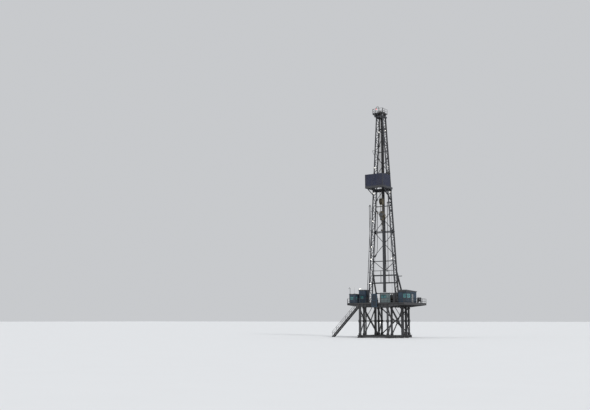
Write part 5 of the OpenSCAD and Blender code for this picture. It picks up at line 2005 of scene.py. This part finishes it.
@dataclass
class HoistTrim(Assembly):
    """Bolts, guards, motor fins, hoses, links and elevator fittings of the hoisted gear."""

    sizes: Sizes
    outline: tuple[Pair, ...] = ((-0.13, -0.4), (0.13, -0.4), (0.3, -0.15), (0.3, 0.18),
        (0.18, 0.33), (-0.18, 0.33), (-0.3, 0.18), (-0.3, -0.15))
    bolts: tuple[Pair, ...] = ((-0.13, 0.27), (0.13, 0.27), (-0.09, -0.35), (0.09, -0.35),
        (-0.255, 0.0), (0.255, 0.0))
    bail: tuple[Pair, ...] = ((-0.1, 0.33), (-0.1, 0.36), (-0.05, 0.39), (0.05, 0.39), (0.1, 0.36),
        (0.1, 0.33))

    def parts(self) -> list[Part]:
        """The pieces of the hoisted gear.

        Returns:
            The pieces in order.
        """
        return [Part("block_fittings", self._block, "block_yellow", Body.HOIST),
            Part("top_drive_fittings", self._drive, "machine_grey", Body.HOIST),
            Part("top_drive_steel", self._steel, "sheave_steel", Body.HOIST),
            Part("top_drive_hoses", self._hoses, "hose_black", Body.HOIST),
            Part("shaft_collars", self._shaft, "sheave_steel", Body.SHAFT)]

    def _block(self) -> None:
        """Adds the bolts, edge straps, line guards and bail of the travelling block."""
        z = self.sizes.block
        for side in SIDES:
            x = side * 0.18
            self.cone((x, 0, z), (x + side * 0.022, 0, z), 0.095, 0.085, 24)
            self.studs((x, 0, z), "yz", 0.072, 8, (side * 0.034, 0, 0), 0.008)
            edge = flat((x + side * 0.006, 0, z), "yz",
                [(y * 0.965, up * 0.965) for y, up in self.outline])
            for a, b in zip(edge, [*edge[1:], edge[0]]):
                self.bar(a, b, 0.018, 0.012)
            for bolt in flat((x, 0, z), "yz", self.bolts):
                self.rod(bolt, shift(bolt, (side * 0.02, 0, 0)), 0.014, 6)
        for y, up in product((-0.292, 0.292), (z - 0.1, z + 0.1)):
            self.rod((-0.165, y, up), (0.165, y, up), 0.008, 8)
        self.tube(flat((0, 0, z), "xz", self.bail), 0.014, 10)

    def _drive(self) -> None:
        """Adds the covers, motor fins, cable box and carriage bolts of the top drive."""
        z = self.sizes.floor
        for side in SIDES:
            x = side * 0.23
            self.box((x, -0.17, z + 10.0), (x + side * 0.012, -0.02, z + 10.36))
            self.box((x, 0.1, z + 10.13), (x + side * 0.012, 0.2, z + 10.36))
            for y, up in product((-0.16, -0.03), (10.02, 10.18, 10.34)):
                self.rod((x, y, z + up), (x + side * 0.022, y, z + up), 0.009, 6)
        self.box((-0.2, -0.222, z + 9.99), (0.2, -0.208, z + 10.38))
        self.row((-0.16, -0.23, z + 10.03), (0.16, -0.22, z + 10.044), (0, 0, 0.045), 7)
        for x in (-0.15, 0.15):
            near, far = (arc((x, 0.112, z + 10.42), "xy", reach, 12)[:12]
                for reach in (0.072, 0.084))
            for a, b, way in zip(near, far, arc((0, 0, 0), "xy", 0.003, 12, 90, 450)):
                self.plate([a, b, *moved((b, a), (0, 0, 0.16))], way)
            self.cone((x, 0.112, z + 10.6), (x, 0.112, z + 10.63), 0.078, 0.055, 24)
        for x, up in product((-0.2, 0.2), (9.82, 9.94, 10.06, 10.18, 10.28)):
            self.rod((x, 0.214, z + up), (x, 0.226, z + up), 0.011, 6)
        for x, up in product((-0.191, 0.191), (9.85, 10.25)):
            self.rod((x, 0.34, z + up), (x, 0.42, z + up), 0.022, 12)
        self.studs((0, 0, z + 9.55), "xy", 0.14, 4, (0, 0, 0.05), 0.018, 6, 45.0)
        self.box((-0.13, -0.245, z + 9.64), (0.13, -0.16, z + 9.86))
        self.box((-0.14, -0.252, z + 9.855), (0.14, -0.16, z + 9.87))

    def _steel(self) -> None:
        """Adds the link eyes, elevator hinge, bore rings and hose fittings."""
        z = self.sizes.floor
        for x in (-0.11, 0.11):
            for up in (8.47, 9.5):
                self.tube(arc((x, 0, z + up), "yz", 0.045, 16, tall=0.05 / 0.045), 0.02, 8)
            self.cone((x, 0, z + 8.95), (x, 0, z + 8.98), 0.024, 0.024, 16)
        self.row((-0.1, -0.074, z + 8.32), (0.1, -0.068, z + 8.42), (0, 0.144, 0), 2)
        self.collar(z + 8.439, 0.046, 0.062, 0.01, 16)
        self.pins((-0.132, 0.132), (0,), (z + 8.31, z + 8.43), 0.014, 12)
        for x, y, low, high, radius in ((-0.35, -0.42, 10.235, 10.265, 0.052),
                (-0.35, -0.42, 10.4, 10.445, 0.05), (0.4, 0.02, 9.7, 9.74, 0.056)):
            self.pins((x,), (y,), (z + low, z + high), radius, 20)
        self.cone((0, 0, z + 10.54), (0, 0, z + 10.6), 0.05, 0.035, 20)

    def _hoses(self) -> None:
        """Adds the short hydraulic hoses between the fixed parts of the top drive."""
        up = (0, 0, self.sizes.floor)
        for k in range(4):
            x, out = 0.05 + 0.03 * k, 0.24 + 0.02 * k
            route = [(out, -0.02, 10.11), (out + 0.02, -0.1, 10.1), (0.24, -0.22 - 0.012 * k, 9.98),
                (x + 0.05, -0.262, 9.9), (x, -0.235, 9.86)]
            self.tube(smooth(moved(route, up), 18), 0.009, 8)
        for side in SIDES:
            route = [(side * 0.15, 0.1, 10.6), (side * 0.16, 0.02, 10.66),
                (side * 0.19, -0.1, 10.6), (side * 0.2, -0.16, 10.42)]
            self.tube(smooth(moved(route, up), 16), 0.01, 8)

    def _shaft(self) -> None:
        """Adds the shoulders, wear bands and keys of the drive shaft."""
        z = self.sizes.floor + 8.96
        for low, high, radius in ((0.02, 0.03, 0.0515), (0.08, 0.1, 0.0515), (0.15, 0.16, 0.0515),
                (0.26, 0.34, 0.041), (0.42, 0.44, 0.04)):
            self.cone((0, 0, z + low), (0, 0, z + high), radius, radius, 32)
        self.row((0.03, -0.012, z + 0.37), (0.038, 0.012, z + 0.41), mirror=True)


@dataclass
class PipeTrim(Assembly):
    """Fittings of the standpipe, the hose ends, the guide rail and the rear legs."""

    sizes: Sizes
    off: float = 0.235
    hose: Pair = (-1.3, -0.6)
    loop: Pair = (0.72, 0.02)

    def parts(self) -> list[Part]:
        """The pieces of the pipes, the guide rail and the rear legs.

        Returns:
            The pieces in order.
        """
        return [Part("standpipe_flanges", self._flanges, "rail_steel"),
            Part("hose_cuffs", self._cuffs, "sheave_steel"),
            Part("guide_rail_plates", self._guide, "mast_steel"),
            Part("rear_leg_fittings", self._rear_leg, "mast_steel")]

    def _spot(self, height: float) -> Point:
        """Centre of the standpipe at a height over the floor."""
        s = self.sizes
        return (-(s.leg(height) + self.off), s.front, s.floor + height)

    def _flanges(self) -> None:
        """Adds the flange pairs, the clamps, the valve and the gauge."""
        for height in (2.2, 4.9, 7.4, 9.8):
            x, y, z = self._spot(height)
            for low in (z - 0.022, z + 0.002):
                self.pins((x,), (y,), (low, low + 0.02), 0.062, 20)
            self.studs((x, y, z - 0.032), "xy", 0.05, 6, (0, 0, 0.064), 0.007)
        for height in (1.2, 3.6, 6.0, 8.4, 10.6):
            x, y, z = self._spot(height)
            bend = arc((x, y, z), "xy", 0.04, 10, 90, 270)
            self.tube([(x + 0.03, y + 0.04, z), *bend, (x + 0.03, y - 0.04, z)], 0.006, 6)
        x, y, z = self._spot(0.72)
        self.post(x, y, 0.055, (z - 0.07, z + 0.07))
        self.rod((x, y - 0.05, z), (x, y - 0.14, z), 0.012, 10)
        self.tube(arc((x, y - 0.135, z), "xz", 0.065, 20), 0.007, 8)
        rim = arc((x, y - 0.135, z), "xz", 0.062, 6)
        for near, far in zip(rim[3:6], rim):
            self.rod(near, far, 0.005, 6)
        x, y, z = self._spot(1.5)
        self.rod((x, y, z), (x - 0.09, y, z), 0.01, 8)
        self.pins((x - 0.09,), (y,), (z - 0.01, z + 0.03), 0.01, 8)
        self.rod((x - 0.09, y - 0.018, z + 0.065), (x - 0.09, y + 0.012, z + 0.065), 0.038, 24)

    def _cuffs(self) -> None:
        """Adds flanges at the fixed ends of hose and service loop, and the loop's last hoses."""
        for (x, y), low, high, radius in ((self.hose, 14.975, 15.005, 0.066),
                (self.loop, 15.275, 15.3, 0.06)):
            self.pins((x,), (y,), (low, high), radius, 20)
        self.studs((*self.hose, 14.965), "xy", 0.053, 6, (0, 0, 0.055), 0.007)
        for k in range(4):
            x = 0.7 + 0.013 * k
            route = [(x, 0.02, 15.36), (x + 0.02, 0.03, 15.45), (0.88, 0.1 + 0.02 * k, 15.47),
                (0.95, 0.3, 15.42 - 0.01 * k), (0.985, 0.44, 15.4)]
            self.tube(smooth(route, 14), 0.01, 6)

    def _guide(self) -> None:
        """Adds the splice plates and pins of the guide rail."""
        s = self.sizes
        for index in range(1, 6):
            z = s.floor + 1.3 + (s.mast_h - 1.3) * index / 6 + 0.03
            self.row((0.04, s.rear - 0.06, z - 0.16), (0.07, s.rear - 0.046, z + 0.16), mirror=True)
            for x, up in product((-0.068, 0.068), (z - 0.11, z + 0.11)):
                self.rod((x, s.rear - 0.046, up), (x, s.rear - 0.03, up), 0.012, 8)

    def _rear_leg(self) -> None:
        """Adds pins, eyes and gussets of the rear legs, and the outrigger on the left leg."""
        s, z = self.sizes, self.sizes.floor
        cheek = [(-0.14, 0.055), (0.14, 0.055), (0.05, 0.17), (-0.05, 0.17)]
        for side in SIDES:
            x = side * s.leg_base
            self.rod((x - 0.1, 1.94, z + 0.1), (x + 0.1, 1.94, z + 0.1), 0.035, 16)
            for place in (x - 0.1, x + 0.08):
                self.plate(flat((place, 1.94, z), "yz", cheek), (0.02, 0, 0))
            self.pins((x - 0.12, x + 0.12), (1.77, 2.07), (z + 0.055, z + 0.085), 0.014)
            gusset = flat((x, 1.402, z), "xz",
                [(0.06, 1.12), (0.3, 1.16), (0.3, 1.26), (0.06, 1.4)], -side)
            self.plate(gusset, (0, -0.008, 0))
        self.rod((2.07, s.rear + 0.07, z + 3.1), (2.07, s.rear + 0.13, z + 3.1), 0.035, 16)
        for height in (17.15, 17.75):
            self.bar((-(s.leg(height) + 0.05), s.front, z + height),
                (-0.98, s.front - 0.05, z + 17.75), 0.035, 0.035)


@dataclass
class RoofGear(Assembly):
    """Antenna, bent vent and cooler on the cabins, and the panels and handle of the hinged door."""

    floor: float = Sizes.floor
    roof: float = Sizes.floor + 1.1

    def parts(self) -> list[Part]:
        """The pieces on the cabins.

        Returns:
            The pieces in order.
        """
        return [Part("doghouse_antenna", self._antenna, "rail_steel"),
            Part("doghouse_vent", self._vent, "rail_steel"),
            Part("tool_house_cooler", self._cooler, "cabin_white"),
            Part("door_fittings", self._door, "door_pale", Body.DOOR)]

    def _antenna(self) -> None:
        """Adds the antenna of the doghouse, with its foot and its cross bars."""
        x, y, z = -3.0, -1.3, self.roof
        self.pins((x,), (y,), (z - 0.01, z + 0.1), 0.018, 12)
        self.cone((x, y, z + 0.1), (x, y, z + 0.74), 0.008, 0.004, 8)
        for half, up in ((0.06, 0.42), (0.04, 0.52)):
            self.rod((x - half, y, z + up), (x + half, y, z + up), 0.004, 6)

    def _vent(self) -> None:
        """Adds the vent of the doghouse, bent over at its top."""
        foot = (-3.18, -1.96, self.roof)
        route = [(0, 0, -0.01), (0, 0, 0.4), (0, 0, 0.6), (-0.045, -0.025, 0.7),
            (-0.1, -0.05, 0.66), (-0.11, -0.055, 0.58)]
        self.tube(smooth(moved(route, foot), 24), 0.022, 12)
        self.cone(shift(foot, (0, 0, -0.002)), shift(foot, (0, 0, 0.05)), 0.05, 0.024, 16)

    def _cooler(self) -> None:
        """Adds the cooler behind the tool house, with its louvres and brackets."""
        z = self.floor
        self.box((2.56, 1.56, z + 0.76), (3.02, 1.7, z + 1.1))
        self.row((2.58, 1.7, z + 0.79), (3.0, 1.708, z + 0.802), (0, 0, 0.027), 11)
        for x in (2.58, 2.98):
            self.bar((x, 1.56, z + 0.6), (x, 1.69, z + 0.77), 0.02, 0.02)

    def _door(self) -> None:
        """Adds the beads round the two panels of the door, and its handle."""
        x, z, left, right, bead = 3.4, self.floor + 0.03, 0.43, 0.7, 0.012
        for low, high in ((0.1, 0.42), (0.56, 0.92)):
            for y0, y1, z0, z1 in ((left, right, low, low + bead), (left, right, high - bead, high),
                    (left, left + bead, low, high), (right - bead, right, low, high)):
                self.box((x - 0.001, y0, z + z0), (x + 0.008, y1, z + z1))
        handle = [(0.012, 0.47), (0.04, 0.48), (0.045, 0.52), (0.04, 0.56), (0.012, 0.57)]
        self.tube(flat((x, 0.725, z), "xz", handle), 0.006, 8)


@dataclass
class Studio:
    """Plain pale floor, soft lamps and an even pale world."""

    reach: float = 900.0
    sky: Colour = (0.93, 0.95, 0.98)
    sky_strength: float = 0.62
    paper: tuple[Colour, Colour] = ((0.7, 0.71, 0.72), (0.72, 0.73, 0.74))

    def build(self) -> None:
        """Makes the floor, the lamps and the world."""
        self._floor()
        self._lamp("key", 2.0, (52.0, 0.0, 62.0), 12.0)
        self._lamp("fill", 0.6, (60.0, 0.0, -50.0), 40.0)
        world = bpy.data.worlds.new("studio")
        world.use_nodes = True
        background = world.node_tree.nodes["Background"]
        background.inputs["Color"].default_value = (*self.sky, 1.0)
        background.inputs["Strength"].default_value = self.sky_strength
        bpy.context.scene.world = world
        bpy.context.scene.view_settings.view_transform = "Standard"

    def _floor(self) -> None:
        """Makes the floor sheet."""
        reach = self.reach
        mesh = bpy.data.meshes.new("floor")
        mesh.from_pydata([(-reach, -reach, 0), (reach, -reach, 0), (reach, reach, 0),
            (-reach, reach, 0)], [], [(0, 1, 2, 3)])
        shader = Shader("floor_paper")
        tone = shader.mix(shader.noise(0.4, 2.0), *self.paper)
        mesh.materials.append(shader.surface({"Base Color": tone, "Roughness": 0.9}))
        made = bpy.data.objects.new("floor", mesh)
        bpy.context.scene.collection.objects.link(made)

    @staticmethod
    def _lamp(name: str, strength: float, turn: Point, softness: float) -> None:
        """Makes one broad sun lamp.

        Args:
            name: plain name.
            strength: its strength.
            turn: its angles, in degrees.
            softness: the angle of its disc, in degrees.
        """
        data = bpy.data.lights.new(name, "SUN")
        data.energy = strength
        data.angle = math.radians(softness)
        made = bpy.data.objects.new(name, data)
        made.rotation_euler = [math.radians(part) for part in turn]
        bpy.context.scene.collection.objects.link(made)


HOSE_ROUTE: list[Point] = [(-1.3, -0.6, 14.95), (-1.3, -0.6, 14.5), (-1.29, -0.595, 13.0),
    (-1.27, -0.59, 11.2), (-1.22, -0.57, 9.9), (-1.08, -0.53, 9.26), (-0.83, -0.48, 9.08),
    (-0.58, -0.45, 9.26), (-0.44, -0.43, 9.9), (-0.39, -0.42, 11.2), (-0.36, -0.42, 13.0),
    (-0.35, -0.42, 14.04)]
LOOP_ROUTE: list[Point] = [(0.72, 0.02, 15.27), (0.72, 0.02, 14.9), (0.715, 0.02, 13.0),
    (0.705, 0.02, 10.5), (0.685, 0.02, 8.22), (0.63, 0.02, 7.57), (0.56, 0.02, 7.45),
    (0.49, 0.02, 7.57), (0.43, 0.02, 8.22), (0.405, 0.02, 10.0), (0.4, 0.02, 11.8),
    (0.4, 0.02, 13.5)]


def cabins() -> list[Cabin]:
    """The four cabins with their openings, as in the solids.

    Returns:
        The cabins.
    """
    front, rear, left, right = Wall
    doorway = Filling.DOORWAY
    doghouse = Cabin("doghouse", "cabin_blue", (-3.25, -2.02), (0.8, 0.9, 1.04),
        [Opening(right, 0.48, 0.02, 0.34, 0.94, doorway), Opening(right, 0.11, 0.44, 0.28, 0.36),
        Opening(front, 0.12, 0.44, 0.42, 0.36)], (0.02, 0.04))
    tall_cabin = Cabin("tall_cabin", "cabin_blue", (-2.95, -0.35), (0.8, 0.87, 1.54),
        [Opening(right, 0.44, 0.02, 0.34, 0.96, doorway), Opening(front, 0.2, 0.56, 0.4, 0.36)],
        (0.04, 0.04))
    drillers_cabin = Cabin("drillers_cabin", "cabin_white", (0.85, -2.2), (0.8, 0.75, 1.09),
        [Opening(front, 0.07, 0.56, 0.31, 0.33), Opening(front, 0.42, 0.56, 0.31, 0.33),
        Opening(left, 0.09, 0.48, 0.56, 0.41, bars=2),
        Opening(rear, 0.23, 0.02, 0.34, 0.96, doorway)], (0.04, 0.06))
    tool_house = Cabin("tool_house", "cabin_blue", (2.43, -0.95), (0.97, 2.5, 1.3),
        [Opening(right, 1.328, 0.02, 0.392, 1.012, Filling.DOOR),
        Opening(right, 0.13, 0.56, 0.9, 0.54, bars=3), Opening(front, 0.56, 0.56, 0.37, 0.54)],
        (0.06, 0.07), flat_roof=False)
    return [doghouse, tall_cabin, drillers_cabin, tool_house]


def dress_nodes(frame: dict, finishes: Finishes) -> None:
    """Gives every carried-over node the finish of its slot.

    Args:
        frame: the loaded frame.
        finishes: the finishes by name.
    """
    for part in frame["record"]["subparts"]:
        node = frame["nodes"][part["node"]]
        node.data.materials.clear()
        node.data.materials.append(finishes[part["material_slot"]])
    LOG.info("finishes on %d nodes", len(frame["nodes"]))


def main() -> None:
    """Builds the scene in order."""
    logging.basicConfig(level=logging.INFO, format="%(message)s")
    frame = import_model()
    sizes = Sizes()
    View().build()
    finishes = Finishes()
    HangingHose("rotary_hose", HOSE_ROUTE, 0.03).build(finishes)
    HangingHose("service_loop", LOOP_ROUTE, 0.034, strands=4).build(finishes)
    dress_nodes(frame, finishes)
    for assembly in (Reeving(sizes), MastTrim(sizes), LadderTrim(sizes), Lamps(sizes), Crown(sizes),
            BoardTrim(sizes), SubstructureTrim(), FloorTrim(sizes), DrawworksTrim(sizes),
            HoistTrim(sizes), PipeTrim(sizes), RoofGear(), *cabins(), Glazing(cabins())):
        assembly.build(finishes)
    Studio().build()


if __name__ == "__main__":
    main()
